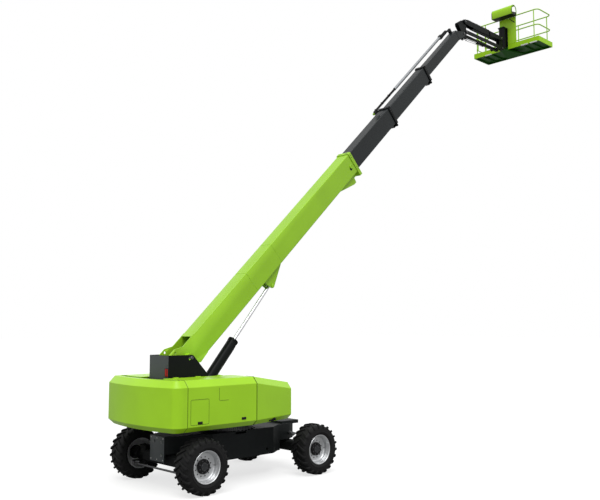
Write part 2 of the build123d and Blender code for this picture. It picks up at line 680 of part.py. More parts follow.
with BuildPart() as counterweight:
    with BuildSketch(Plane.XY.offset(HOOD_LOW_EDGE_Z)):
        add(hood_outline(0))
    extrude(amount=HOOD_HIGH_EDGE_Z - HOOD_LOW_EDGE_Z)
    for low, high, low_inset, high_inset in (
        (HOOD_BOTTOM_Z, HOOD_LOW_EDGE_Z, HOOD_CHAMFER, 0),
        (HOOD_HIGH_EDGE_Z, HOOD_TOP_Z, 0, HOOD_CHAMFER),
    ):
        with BuildSketch(Plane.XY.offset(low)):
            add(hood_outline(low_inset))
        with BuildSketch(Plane.XY.offset(high)):
            add(hood_outline(high_inset))
        loft()
    # Only the part behind the rear seam is counterweight
    split(bisect_by=Plane.YZ.offset(HOOD_REAR_SEAM_X), keep=Keep.BOTTOM)
    with BuildSketch(Plane.XY.offset(HOOD_TOP_Z - COUNTERWEIGHT_RECESS)):
        add(hood_outline(HOOD_CHAMFER + COUNTERWEIGHT_RIM))
    extrude(amount=COUNTERWEIGHT_RECESS + 1, mode=Mode.SUBTRACT)
save(counterweight.part, "counterweight")


def inner_line(points, thickness):
    """Give the line that lies one thickness to the right of a line of points."""
    moved = []
    for place, (y, z) in enumerate(points):
        normals = []
        for first, second in zip(points[max(place - 1, 0):place + 1], points[max(place, 1):place + 2]):
            length = hypot(second[0] - first[0], second[1] - first[1])
            normals.append(((second[1] - first[1]) / length, -(second[0] - first[0]) / length))
        sum_y = sum(normal[0] for normal in normals)
        sum_z = sum(normal[1] for normal in normals)
        scale = thickness * len(normals) / (sum_y**2 + sum_z**2)
        moved.append((y + sum_y * scale, z + sum_z * scale))
    return moved


hood_line = [
    (TROUGH_HALF_WIDTH, HOOD_TOP_Z),
    (HOOD_HALF_WIDTH - HOOD_CHAMFER, HOOD_TOP_Z),
    (HOOD_HALF_WIDTH, HOOD_HIGH_EDGE_Z),
    (HOOD_HALF_WIDTH, HOOD_LOW_EDGE_Z),
    (HOOD_HALF_WIDTH - HOOD_CHAMFER, HOOD_BOTTOM_Z),
]
door_start = HOOD_REAR_SEAM_X + PANEL_GAP
door_length = HOOD_FRONT_SEAM_X - PANEL_GAP - door_start
for side, door_name in ((1, "hood_door_left"), (-1, "hood_door_right")):
    door_plane = Plane(origin=(door_start, 0, 0), x_dir=(0, 1, 0), z_dir=(1, 0, 0))
    with BuildPart() as door:
        with BuildSketch(door_plane):
            with BuildLine():
                Polyline(*hood_line, *reversed(inner_line(hood_line, HOOD_SKIN)), close=True)
            make_face()
        extrude(amount=door_length)
        # Hinge barrels along the inner edge
        for hinge_start in (
            DOOR_HINGE_INSET,
            (door_length - DOOR_HINGE_LENGTH) / 2,
            door_length - DOOR_HINGE_INSET - DOOR_HINGE_LENGTH,
        ):
            with BuildSketch(door_plane.offset(hinge_start)):
                with Locations((TROUGH_HALF_WIDTH, HOOD_TOP_Z)):
                    Circle(DOOR_HINGE_RADIUS)
            extrude(amount=DOOR_HINGE_LENGTH)
    door_part = door.part if side > 0 else door.part.mirror(Plane.XZ)
    save(door_part, door_name)


def nose_body(inset):
    """Make one solid nose, sloping down and in towards the front, pulled in by the inset."""
    rear = HOOD_FRONT_SEAM_X
    front = NOSE_FRONT_X - inset
    with BuildPart() as body:
        for x, wide, top, high_edge in (
            (rear, HOOD_HALF_WIDTH, HOOD_TOP_Z, HOOD_HIGH_EDGE_Z),
            (front, NOSE_HALF_WIDTH, NOSE_TOP_Z, NOSE_HIGH_EDGE_Z),
        ):
            with BuildSketch(Plane(origin=(x, 0, 0), x_dir=(0, 1, 0), z_dir=(1, 0, 0))):
                with BuildLine():
                    Polyline(
                        (TROUGH_HALF_WIDTH + inset, top - inset),
                        (wide - HOOD_CHAMFER - inset, top - inset),
                        (wide - inset, high_edge - inset),
                        (wide - inset, HOOD_LOW_EDGE_Z + inset),
                        (wide - HOOD_CHAMFER - inset, HOOD_BOTTOM_Z + inset),
                        (TROUGH_HALF_WIDTH + inset, HOOD_BOTTOM_Z + inset),
                        close=True,
                    )
                make_face()
        loft(ruled=True)
    return body.part


with BuildPart() as front_cowls:
    add(nose_body(0))
    add(nose_body(HOOD_SKIN), mode=Mode.SUBTRACT)
    # The nose stands on the deck plate
    with BuildSketch(Plane.XY.offset(HOOD_BOTTOM_Z - 1)):
        add(hood_outline(HOOD_CHAMFER + DECK_MARGIN - 1))
    extrude(amount=DECK_BOTTOM_Z + DECK_PLATE - HOOD_BOTTOM_Z + 1, mode=Mode.SUBTRACT)
    mirror(about=Plane.XZ)
save(front_cowls.part, "front_cowls")

bay_middle_x = (HOOD_REAR_SEAM_X + HOOD_FRONT_SEAM_X) / 2
for side, block_name, size in ((-1, "engine_block", ENGINE_SIZE), (1, "fluid_tanks", TANK_SIZE)):
    with BuildPart() as block:
        with BuildSketch(Plane.XY.offset(deck_top_z)):
            with Locations((bay_middle_x, side * (TROUGH_HALF_WIDTH + 380))):
                Rectangle(size[0], size[1])
        extrude(amount=size[2])
        chamfer(block.edges().filter_by(Axis.Z), length=30)
    save(block.part, block_name)

# Pedestal: two side plates with a rear plate, the boom's pivot pin and the lift cylinder's pin
plate_inside = PEDESTAL_HALF_WIDTH - PEDESTAL_PLATE
with BuildSketch(Plane.XY) as pedestal_side:
    with BuildLine():
        Polyline(
            (PEDESTAL_REAR_X, deck_top_z),
            (PEDESTAL_REAR_X, PEDESTAL_TOP_Z),
            (PEDESTAL_FRONT_TOP_X, PEDESTAL_TOP_Z),
            PEDESTAL_SHOULDER,
            (PEDESTAL_FOOT_X, deck_top_z),
            close=True,
        )
    make_face()
with BuildPart() as pedestal:
    add(plates_along_y(Plane.XZ, pedestal_side.sketch, plate_inside, PEDESTAL_PLATE))
    rear_plate_x = PEDESTAL_REAR_X + PEDESTAL_PLATE / 4
    with BuildSketch(Plane.XY.offset(deck_top_z)):
        with Locations((rear_plate_x, 0)):
            Rectangle(PEDESTAL_PLATE / 2, 2 * plate_inside)
    extrude(amount=PEDESTAL_TOP_Z - deck_top_z)
    add(cylinder_along_y(PIVOT_X, PIVOT_Z, PIVOT_PIN_RADIUS, plate_inside))
    add(cylinder_along_y(LIFT_FOOT_X, LIFT_FOOT_Z, LIFT_FOOT_PIN_RADIUS, plate_inside))
save(pedestal.part, "pedestal")

with BuildPart() as rear_lamps:
    lamp_x = PEDESTAL_REAR_X - LAMP_SIZE[0] / 2
    lamp_y = -PEDESTAL_HALF_WIDTH + LAMP_SIZE[1] / 2
    with BuildSketch(Plane.XY.offset(HOOD_TOP_Z + 30)):
        with Locations((lamp_x, lamp_y), (lamp_x, lamp_y + LAMP_SIZE[1] + 12)):
            Rectangle(LAMP_SIZE[0], LAMP_SIZE[1])
    extrude(amount=LAMP_SIZE[2])
save(rear_lamps.part, "rear_lamps")

# Boom: four box tubes that slide in each other; each mouth has a collar with wear pads inside
for place, (name, half_width, low, high, wall, start, end) in enumerate(SECTIONS):
    outer_corner = TUBE_CORNER
    with BuildPart() as section:
        with BuildSketch(boom_cross_plane(start)):
            add(tube_section(half_width, low, high, outer_corner))
            add(
                tube_section(half_width - wall, low + wall, high - wall, outer_corner - wall),
                mode=Mode.SUBTRACT,
            )
        extrude(amount=end - start)
        if place + 1 < len(SECTIONS):
            # Collar round the mouth, closed down to the next tube by the wear pads
            inner = dict(zip(SECTION_COLUMNS, SECTIONS[place + 1]))
            with BuildSketch(boom_cross_plane(end - COLLAR_LENGTH)):
                rise = COLLAR_RISE
                add(tube_section(half_width + rise, low - rise, high + rise, outer_corner))
                add(
                    tube_section(
                        inner["half_width"] + SLIDE_GAP,
                        inner["low"] - SLIDE_GAP,
                        inner["high"] + SLIDE_GAP,
                        TUBE_CORNER,
                    ),
                    mode=Mode.SUBTRACT,
                )
            extrude(amount=COLLAR_LENGTH)
        if place > 0:
            # Rear pads fill the way to the tube outside
            outer = dict(zip(SECTION_COLUMNS, SECTIONS[place - 1]))
            reach = outer["wall"] + SLIDE_GAP
            with BuildSketch(boom_cross_plane(start)):
                add(
                    tube_section(
                        outer["half_width"] - reach,
                        outer["low"] + reach,
                        outer["high"] - reach,
                        TUBE_CORNER - outer["wall"],
                    )
                )
                add(tube_section(half_width - wall, low + wall, high - wall, 8), mode=Mode.SUBTRACT)
            extrude(amount=REAR_PAD_LENGTH)
        if name == "boom_base":
            # Side plates run back past the pivot to a pair of ears
            with BuildSketch(Plane.XY, mode=Mode.PRIVATE) as rear_side:
                with BuildLine():
                    Polyline(
                        (BASE_START + 90, low),
                        (170, low - 25),
                        (-90, -110),
                        (-300, 290),
                        (-285, 350),
                        (-120, 350),
                        (60, high),
                        (BASE_START + 90, high),
                        close=True,
                    )
                make_face()
            boom_side = side_plane(PIVOT_X, PIVOT_Z, BOOM_ANGLE)
            inside = half_width - BASE_REAR_PLATE
            add(plates_along_y(boom_side, rear_side.sketch, inside, BASE_REAR_PLATE))
            # Bosses run out to the pedestal's plates, round the pivot pin
            for side in (-1, 1):
                with BuildSketch(boom_side.offset(side * (half_width - BASE_REAR_PLATE))):
                    Circle(PIVOT_PIN_RADIUS + 35)
                extrude(amount=side * (plate_inside - 5 - half_width + BASE_REAR_PLATE))
            with BuildSketch(boom_side):
                Circle(PIVOT_PIN_RADIUS + PIN_FIT)
                with Locations(BASE_EAR_HOLE):
                    Circle(BASE_EAR_HOLE_RADIUS)
            extrude(amount=PEDESTAL_HALF_WIDTH, both=True, mode=Mode.SUBTRACT)
            # Lugs for the lift cylinder's rod
            with BuildSketch(Plane.XY, mode=Mode.PRIVATE) as lug:
                with BuildLine():
                    CenterArc(LIFT_EYE, LIFT_LUG_RADIUS, 0, 360)
                    Line((LIFT_EYE[0] - 140, low), (LIFT_EYE[0] + 610, low))
                make_hull()
            add(plates_along_y(boom_side, lug.sketch, LIFT_LUG_Y, LIFT_LUG_PLATE))
            for side in (-1, 1):
                with BuildSketch(boom_side.offset(side * (LIFT_LUG_Y + LIFT_LUG_PLATE))):
                    with Locations(LIFT_EYE):
                        Circle(LIFT_EYE_RADIUS - 10)
                extrude(amount=side * 14)
            # Housing of the telescope drive under the mouth, and the deep end flange
            with BuildSketch(boom_side):
                with BuildLine():
                    Polyline(
                        (end - 1010, low),
                        (end - 350, low - 215),
                        (end - 250, low - 215),
                        (end - 230, low - 90),
                        (end, low - 90),
                        (end, low),
                        close=True,
                    )
                make_face()
            extrude(amount=110, both=True)
            with BuildSketch(boom_cross_plane(end - COLLAR_LENGTH)):
                with Locations((0, low - 60)):
                    Rectangle(2 * half_width + 2 * COLLAR_RISE, 140)
            extrude(amount=COLLAR_LENGTH)
        elif name != "boom_section_4":
            # Sheave housing under the mouth
            with BuildSketch(side_plane(PIVOT_X, PIVOT_Z, BOOM_ANGLE)):
                with BuildLine():
                    Polyline(
                        (end - SHEAVE_BOX_BACK, low),
                        (end - SHEAVE_BOX_BACK + 60, low - SHEAVE_BOX_DEPTH),
                        (end + SHEAVE_BOX_FRONT, low - SHEAVE_BOX_DEPTH),
                        (end + SHEAVE_BOX_FRONT, low - 40),
                        (end, low),
                        close=True,
                    )
                make_face()
            extrude(amount=60, both=True)
        else:
            # Forked head that carries the level bracket
            boom_side = side_plane(PIVOT_X, PIVOT_Z, BOOM_ANGLE)
            with BuildSketch(Plane.XY, mode=Mode.PRIVATE) as cheek:
                with BuildLine():
                    CenterArc(HEAD_PIN, HEAD_NOSE_RADIUS, 0, 360)
                    Line((end - 60, low), (end - 60, high))
                make_hull()
            add(plates_along_y(boom_side, cheek.sketch, half_width - HEAD_PLATE + 4, HEAD_PLATE))
            with BuildSketch(boom_cross_plane(end - 20)):
                add(tube_section(half_width, low, high, outer_corner))
            extrude(amount=20)
            with BuildSketch(boom_side):
                with Locations(HEAD_PIN):
                    Circle(HEAD_PIN_RADIUS)
            extrude(amount=half_width + 4, both=True)
    save(section.part, name)

# Pipe that guides the platform's hoses over the boom, clamped to the head of the last section
with BuildPart() as hose_pipe:
    with BuildSketch(boom_cross_plane(PIPE_START)):
        with Locations((PIPE_Y, PIPE_ACROSS)):
            Circle(PIPE_RADIUS)
    extrude(amount=PIPE_END - PIPE_START)
    # Bundle of hoses that comes out of the pipe's lower end
    with BuildSketch(boom_cross_plane(HOSE_START)):
        with Locations((PIPE_Y, PIPE_ACROSS)):
            Circle(HOSE_RADIUS)
    extrude(amount=PIPE_START - HOSE_START)
    # Clamp round the pipe's end, on a low arm from a foot on the head of the last section
    foot_low = dict(zip(SECTION_COLUMNS, SECTIONS[-1]))["high"]
    arm_across = PIPE_ACROSS - CLAMP_ARM_DROP
    with BuildSketch(boom_cross_plane(PIPE_END - CLAMP_LENGTH / 2)):
        with Locations((PIPE_Y, PIPE_ACROSS)):
            Rectangle(CLAMP_WIDTH, CLAMP_WIDTH)
    extrude(amount=CLAMP_LENGTH)
    with BuildSketch(boom_cross_plane(PIPE_END - CLAMP_LENGTH / 2)):
        with Locations((PIPE_Y, arm_across)):
            Rectangle(CLAMP_ARM_WIDTH, CLAMP_ARM_HEIGHT)
    extrude(amount=CLAMP_FOOT_END - PIPE_END + CLAMP_LENGTH / 2)
    with BuildSketch(boom_cross_plane(CLAMP_FOOT_END - CLAMP_FOOT_LENGTH)):
        with Locations((PIPE_Y, (foot_low + arm_across) / 2)):
            Rectangle(CLAMP_ARM_WIDTH, arm_across - foot_low)
    extrude(amount=CLAMP_FOOT_LENGTH)
save(hose_pipe.part, "hose_pipe")

# Lift cylinder
with BuildPart() as lift_barrel:
    barrel_plane = cross_plane(LIFT_FOOT_X, LIFT_FOOT_Z, LIFT_ANGLE)
    with BuildSketch(barrel_plane.offset(LIFT_BARREL_RADIUS * 0.7)):
        Circle(LIFT_BARREL_RADIUS)
    extrude(amount=LIFT_BARREL_LENGTH - LIFT_BARREL_RADIUS * 0.7)
    add(cylinder_along_y(LIFT_FOOT_X, LIFT_FOOT_Z, LIFT_BARREL_RADIUS * 0.85, plate_inside - 60))
    with BuildSketch(barrel_plane.offset(LIFT_BARREL_RADIUS * 1.6)):
        Circle(LIFT_BARREL_RADIUS - LIFT_BARREL_WALL)
    extrude(amount=LIFT_BARREL_LENGTH - LIFT_BARREL_RADIUS * 1.6 - 60, mode=Mode.SUBTRACT)
    with BuildSketch(barrel_plane):
        Circle(LIFT_ROD_RADIUS + PIN_FIT)
    extrude(amount=LIFT_BARREL_LENGTH + 1, mode=Mode.SUBTRACT)
    add(
        cylinder_along_y(
            LIFT_FOOT_X, LIFT_FOOT_Z, LIFT_FOOT_PIN_RADIUS + PIN_FIT, PEDESTAL_HALF_WIDTH
        ),
        mode=Mode.SUBTRACT,
    )
save(lift_barrel.part, "lift_barrel")

with BuildPart() as lift_rod:
    with BuildSketch(barrel_plane.offset(LIFT_PISTON_AT)):
        Circle(LIFT_ROD_RADIUS)
    extrude(amount=LIFT_LENGTH - LIFT_PISTON_AT)
    # Piston
    with BuildSketch(barrel_plane.offset(LIFT_PISTON_AT)):
        Circle(LIFT_BARREL_RADIUS - LIFT_BARREL_WALL - PIN_FIT)
    extrude(amount=LIFT_PISTON_LENGTH)
    add(cylinder_along_y(LIFT_EYE_X, LIFT_EYE_Z, LIFT_EYE_RADIUS, LIFT_EYE_HALF_WIDTH))
save(lift_rod.part, "lift_rod")

# Level bracket at the boom head, kept upright
bracket_inside = BRACKET_OUTSIDE - BRACKET_PLATE
with BuildSketch(Plane.XY) as bracket_side:
    with BuildLine():
        Polyline(
            (HEAD_PIN_X - 70, HEAD_PIN_Z - 90),
            (JIB_CYLINDER_FOOT[0] - 20, JIB_CYLINDER_FOOT[1] - 60),
            (JIB_CYLINDER_FOOT[0] + 45, JIB_CYLINDER_FOOT[1] - 20),
            (JIB_LOWER_PIN[0] + 75, JIB_LOWER_PIN[1]),
            (JIB_UPPER_PIN[0] + 75, JIB_UPPER_PIN[1] + 20),
            (JIB_UPPER_PIN[0] - 20, JIB_UPPER_PIN[1] + 75),
            (JIB_UPPER_PIN[0] - 330, JIB_UPPER_PIN[1] - 110),
            (JIB_UPPER_PIN[0] - 340, JIB_UPPER_PIN[1] - 190),
            (HEAD_PIN_X - 80, HEAD_PIN_Z + 100),
            close=True,
        )
    make_face()
with BuildPart() as level_bracket:
    add(plates_along_y(Plane.XZ, bracket_side.sketch, bracket_inside, BRACKET_PLATE))
    with BuildSketch(Plane.XZ):
        with Locations((JIB_UPPER_PIN[0] + 50, (JIB_UPPER_PIN[1] + JIB_LOWER_PIN[1]) / 2)):
            Rectangle(24, 200)
    extrude(amount=bracket_inside, both=True)
    add(cylinder_along_y(*JIB_UPPER_PIN, JIB_PIN_RADIUS, JIB_EAR_INSIDE + JIB_EAR_PLATE))
    add(cylinder_along_y(*JIB_LOWER_PIN, JIB_PIN_RADIUS, JIB_LINK_INSIDE + JIB_LINK_PLATE))
    add(
        cylinder_along_y(HEAD_PIN_X, HEAD_PIN_Z, HEAD_PIN_RADIUS + PIN_FIT, PEDESTAL_HALF_WIDTH),
        mode=Mode.SUBTRACT,
    )
save(level_bracket.part, "level_bracket")

# Jib arms
arm_x, arm_z = JIB_UPPER_PIN
with BuildPart() as jib_upper_arm:
    arm_plane = cross_plane(arm_x + JIB_ARM_START, arm_z)
    with BuildSketch(arm_plane):
        RectangleRounded(2 * JIB_ARM_HALF_WIDTH, JIB_ARM_HEIGHT, TUBE_CORNER)
        RectangleRounded(
            2 * (JIB_ARM_HALF_WIDTH - JIB_ARM_WALL), JIB_ARM_HEIGHT - 2 * JIB_ARM_WALL, TUBE_CORNER - 8,
            mode=Mode.SUBTRACT,
        )
    extrude(amount=JIB_ARM_END - JIB_ARM_START)
    # The box is open below at its rear, where it swings down over the bracket and the lower pin
    with BuildSketch(Plane.XY.offset(arm_z - JIB_ARM_HEIGHT / 2 + JIB_NOTCH_DEPTH)):
        with Locations((arm_x + JIB_NOTCH_END / 2, 0)):
            Rectangle(JIB_NOTCH_END, 2 * JIB_ARM_HALF_WIDTH + 2)
    extrude(amount=-JIB_NOTCH_DEPTH - 1, mode=Mode.SUBTRACT)
    for near, far, half_height in (
        (0, JIB_ARM_START + 60, JIB_ARM_HEIGHT / 2 - 30),
        (JIB_LENGTH, JIB_ARM_END - 60, JIB_ARM_HEIGHT / 2 - 30),
    ):
        with BuildSketch(Plane.XY, mode=Mode.PRIVATE) as ear:
            with BuildLine():
                CenterArc((arm_x + near, arm_z), JIB_EAR_RADIUS, 0, 360)
                Line((arm_x + far, arm_z - half_height), (arm_x + far, arm_z + half_height))
            make_hull()
        add(plates_along_y(Plane.XZ, ear.sketch, JIB_EAR_INSIDE, JIB_EAR_PLATE))
    for near in (0, JIB_LENGTH):
        add(
            cylinder_along_y(arm_x + near, arm_z, JIB_PIN_RADIUS + PIN_FIT, PEDESTAL_HALF_WIDTH),
            mode=Mode.SUBTRACT,
        )
save(jib_upper_arm.part, "jib_upper_arm")

with BuildPart() as jib_lower_arm:
    with BuildSketch(Plane.XY, mode=Mode.PRIVATE) as link:
        with BuildLine():
            CenterArc(JIB_LOWER_PIN, JIB_LINK_HEIGHT / 2, 0, 360)
            CenterArc(JIB_LOWER_END, JIB_LINK_HEIGHT / 2, 0, 360)
        make_hull()
    add(plates_along_y(Plane.XZ, link.sketch, JIB_LINK_INSIDE, JIB_LINK_PLATE))
    with BuildSketch(Plane.XY, mode=Mode.PRIVATE) as tube_lug:
        with BuildLine():
            CenterArc(JIB_CROSS_TUBE, JIB_CROSS_TUBE_RADIUS + 14, 0, 360)
            Line(
                (JIB_CROSS_TUBE[0] - 120, JIB_LOWER_PIN[1]), (JIB_CROSS_TUBE[0] + 120, JIB_LOWER_PIN[1])
            )
        make_hull()
    add(plates_along_y(Plane.XZ, tube_lug.sketch, JIB_LINK_INSIDE, JIB_LINK_PLATE))
    add(cylinder_along_y(*JIB_CROSS_TUBE, JIB_CROSS_TUBE_RADIUS, JIB_LINK_INSIDE))
    for x, z in (JIB_LOWER_PIN, JIB_LOWER_END):
        add(
            cylinder_along_y(x, z, JIB_PIN_RADIUS + PIN_FIT, PEDESTAL_HALF_WIDTH),
            mode=Mode.SUBTRACT,
        )
save(jib_lower_arm.part, "jib_lower_arm")

# Jib cylinder: its barrel hangs on the cross tube and its rod points back to the level bracket
jib_cylinder_plane = cross_plane(*JIB_CROSS_TUBE, JIB_CYLINDER_ANGLE)
with BuildPart() as jib_barrel:
    with BuildSketch(jib_cylinder_plane):
        Circle(JIB_BARREL_RADIUS)
    extrude(amount=JIB_BARREL_LENGTH)
    add(cylinder_along_y(*JIB_CROSS_TUBE, JIB_BARREL_RADIUS + 8, JIB_BARREL_RADIUS))
    with BuildSketch(jib_cylinder_plane):
        Circle(JIB_ROD_RADIUS + PIN_FIT)
    extrude(amount=JIB_BARREL_LENGTH + 1, mode=Mode.SUBTRACT)
    add(
        cylinder_along_y(*JIB_CROSS_TUBE, JIB_CROSS_TUBE_RADIUS + PIN_FIT, JIB_LINK_INSIDE),
        mode=Mode.SUBTRACT,
    )
save(jib_barrel.part, "jib_barrel")

with BuildPart() as jib_rod:
    with BuildSketch(jib_cylinder_plane.offset(JIB_BARREL_LENGTH - JIB_ROD_INSIDE)):
        Circle(JIB_ROD_RADIUS)
    extrude(amount=JIB_CYLINDER_LENGTH - JIB_BARREL_LENGTH + JIB_ROD_INSIDE)
    add(cylinder_along_y(*JIB_CYLINDER_FOOT, JIB_EYE_RADIUS, JIB_EYE_HALF_WIDTH))
save(jib_rod.part, "jib_rod")

# Platform support with the rotary drive
with BuildPart() as platform_support:
    with BuildSketch(Plane.XY, mode=Mode.PRIVATE) as cheek:
        with BuildLine():
            Polyline(
                (JIB_LOWER_END[0] - 60, JIB_LOWER_END[1] - 60),
                (ROTATOR_X, JIB_LOWER_END[1] - 60),
                (ROTATOR_X, JIB_UPPER_END[1] + 120),
                (JIB_UPPER_END[0] - 30, JIB_UPPER_END[1] + 65),
                (JIB_UPPER_END[0] - 75, JIB_UPPER_END[1] - 30),
                close=True,
            )
        make_face()
    add(plates_along_y(Plane.XZ, cheek.sketch, bracket_inside, BRACKET_PLATE))
    with BuildSketch(Plane.XY.offset(ROTATOR_BOTTOM_Z)):
        with Locations((ROTATOR_X, 0)):
            Circle(ROTATOR_RADIUS)
    extrude(amount=ROTATOR_TOP_Z - ROTATOR_BOTTOM_Z)
    add(cylinder_along_y(*JIB_UPPER_END, JIB_PIN_RADIUS, JIB_EAR_INSIDE + JIB_EAR_PLATE))
    add(cylinder_along_y(*JIB_LOWER_END, JIB_PIN_RADIUS, JIB_LINK_INSIDE + JIB_LINK_PLATE))
    # The cheeks stay clear of the turning plate under the rotary drive
    with BuildSketch(Plane.XY.offset(0)):
        with Locations((ROTATOR_X, 0)):
            Circle(ROTATOR_RADIUS + 90)
    extrude(amount=ROTATOR_BOTTOM_Z, mode=Mode.SUBTRACT)
save(platform_support.part, "platform_support")

# Platform mount: a bracket from the rotary drive to the frame under the floor
mount_gap = BEARING_GAP
with BuildPart() as platform_mount:
    for face_z, thickness in (
        (ROTATOR_BOTTOM_Z - mount_gap, -MOUNT_PLATE),
        (ROTATOR_TOP_Z + mount_gap, MOUNT_PLATE),
    ):
        with BuildSketch(Plane.XY.offset(face_z)):
            with Locations((ROTATOR_X, 0)):
                Circle(ROTATOR_RADIUS)
            with Locations(((ROTATOR_X + PLATFORM_REAR_X) / 2, 0)):
                Rectangle(PLATFORM_REAR_X - ROTATOR_X, 2 * ROTATOR_RADIUS)
        extrude(amount=thickness)
    # Upright behind the platform, and the forked beams under the floor
    upright_bottom = ROTATOR_BOTTOM_Z - mount_gap - MOUNT_PLATE
    with BuildSketch(Plane.XY.offset(upright_bottom)):
        with Locations((PLATFORM_REAR_X - 15, 0)):
            Rectangle(30, 2 * ROTATOR_RADIUS)
    extrude(amount=ROTATOR_TOP_Z + mount_gap + MOUNT_PLATE - upright_bottom)
    with BuildSketch(Plane.XY.offset(upright_bottom)):
        with BuildLine():
            Polyline(
                (PLATFORM_REAR_X - 30, -ROTATOR_RADIUS),
                (PLATFORM_REAR_X + PLATFORM_DEPTH * 0.75, -330),
                (PLATFORM_REAR_X + PLATFORM_DEPTH * 0.75, 330),
                (PLATFORM_REAR_X - 30, ROTATOR_RADIUS),
                close=True,
            )
        make_face()
    extrude(amount=PLATFORM_BOTTOM_Z - upright_bottom)
save(platform_mount.part, "platform_mount")

# Platform: floor with toe boards, and the guard rails round it
with BuildPart() as platform_floor:
    floor_middle_x = PLATFORM_REAR_X + PLATFORM_DEPTH / 2
    with BuildSketch(Plane.XY.offset(PLATFORM_BOTTOM_Z)):
        with Locations((floor_middle_x, 0)):
            Rectangle(PLATFORM_DEPTH, 2 * PLATFORM_HALF_WIDTH)
            Rectangle(
                PLATFORM_DEPTH - 2 * FLOOR_BEAM, 2 * PLATFORM_HALF_WIDTH - 2 * FLOOR_BEAM,
                mode=Mode.SUBTRACT,
            )
            Rectangle(PLATFORM_DEPTH, FLOOR_BEAM)
    extrude(amount=FLOOR_BEAM)
    with BuildSketch(Plane.XY.offset(PLATFORM_BOTTOM_Z + FLOOR_BEAM)):
        with Locations((floor_middle_x, 0)):
            Rectangle(PLATFORM_DEPTH, 2 * PLATFORM_HALF_WIDTH)
    extrude(amount=FLOOR_PLATE)
    with BuildSketch(Plane.XY.offset(PLATFORM_BOTTOM_Z)):
        with Locations((floor_middle_x, 0)):
            Rectangle(PLATFORM_DEPTH, 2 * PLATFORM_HALF_WIDTH)
            Rectangle(
                PLATFORM_DEPTH - 2 * TOE_BOARD_PLATE, 2 * PLATFORM_HALF_WIDTH - 2 * TOE_BOARD_PLATE,
                mode=Mode.SUBTRACT,
            )
    extrude(amount=TOE_BOARD_HEIGHT)
    # Tread sheet, kept clear of the posts
    with BuildSketch(Plane.XY.offset(PLATFORM_BOTTOM_Z + FLOOR_BEAM + FLOOR_PLATE)):
        with Locations((floor_middle_x, 0)):
            Rectangle(
                PLATFORM_DEPTH - 2 * TREAD_SHEET_INSET, 2 * PLATFORM_HALF_WIDTH - 2 * TREAD_SHEET_INSET
            )
    extrude(amount=TREAD_SHEET)
save(platform_floor.part, "platform_floor")

rail_inset = RAIL_RADIUS + TOE_BOARD_PLATE + SLIDE_GAP
rail_rear_x = PLATFORM_REAR_X + rail_inset
rail_front_x = PLATFORM_FRONT_X - rail_inset
rail_y = PLATFORM_HALF_WIDTH - rail_inset
post_foot_z = PLATFORM_BOTTOM_Z + FLOOR_BEAM + FLOOR_PLATE
with BuildPart() as platform_rails:
    for rail_z in (TOP_RAIL_Z, MID_RAIL_Z):
        rail_path = [(rail_rear_x + GATE_POST_AT, rail_y, rail_z)]
        for side_x, side_y, first_angle in (
            (-1, 1, 90), (-1, -1, 180), (1, -1, 270), (1, 1, 0)
        ):
            # Each corner is bent in equal small steps
            centre_x = (rail_rear_x if side_x < 0 else rail_front_x) - side_x * RAIL_CORNER_RADIUS
            centre_y = side_y * (rail_y - RAIL_CORNER_RADIUS)
            for step in range(RAIL_BEND_STEPS + 1):
                angle = radians(first_angle + 90 * step / RAIL_BEND_STEPS)
                rail_path.append(
                    (
                        centre_x + RAIL_CORNER_RADIUS * cos(angle),
                        centre_y + RAIL_CORNER_RADIUS * sin(angle),
                        rail_z,
                    )
                )
        rail_path.append((rail_front_x - GATE_POST_AT, rail_y, rail_z))
        with BuildLine():
            Polyline(*rail_path)
        with BuildSketch(Plane(origin=rail_path[0], x_dir=(0, 1, 0), z_dir=(-1, 0, 0))):
            Circle(RAIL_RADIUS)
        sweep(transition=Transition.RIGHT)
    # Posts: place along the rails, and height they reach
    corner_inset = RAIL_CORNER_RADIUS + POST_RADIUS
    for x, y in (
        (rail_rear_x, -rail_y + corner_inset),
        (rail_front_x, -rail_y + corner_inset),
        (rail_front_x, 0),
        (rail_rear_x, 760),
        (rail_rear_x + GATE_POST_AT, rail_y),
        (rail_front_x - GATE_POST_AT, rail_y),
    ):
        with BuildSketch(Plane.XY.offset(post_foot_z)):
            with Locations((x, y)):
                Circle(POST_RADIUS)
        extrude(amount=TOP_RAIL_Z - post_foot_z)
save(platform_rails.part, "platform_rails")

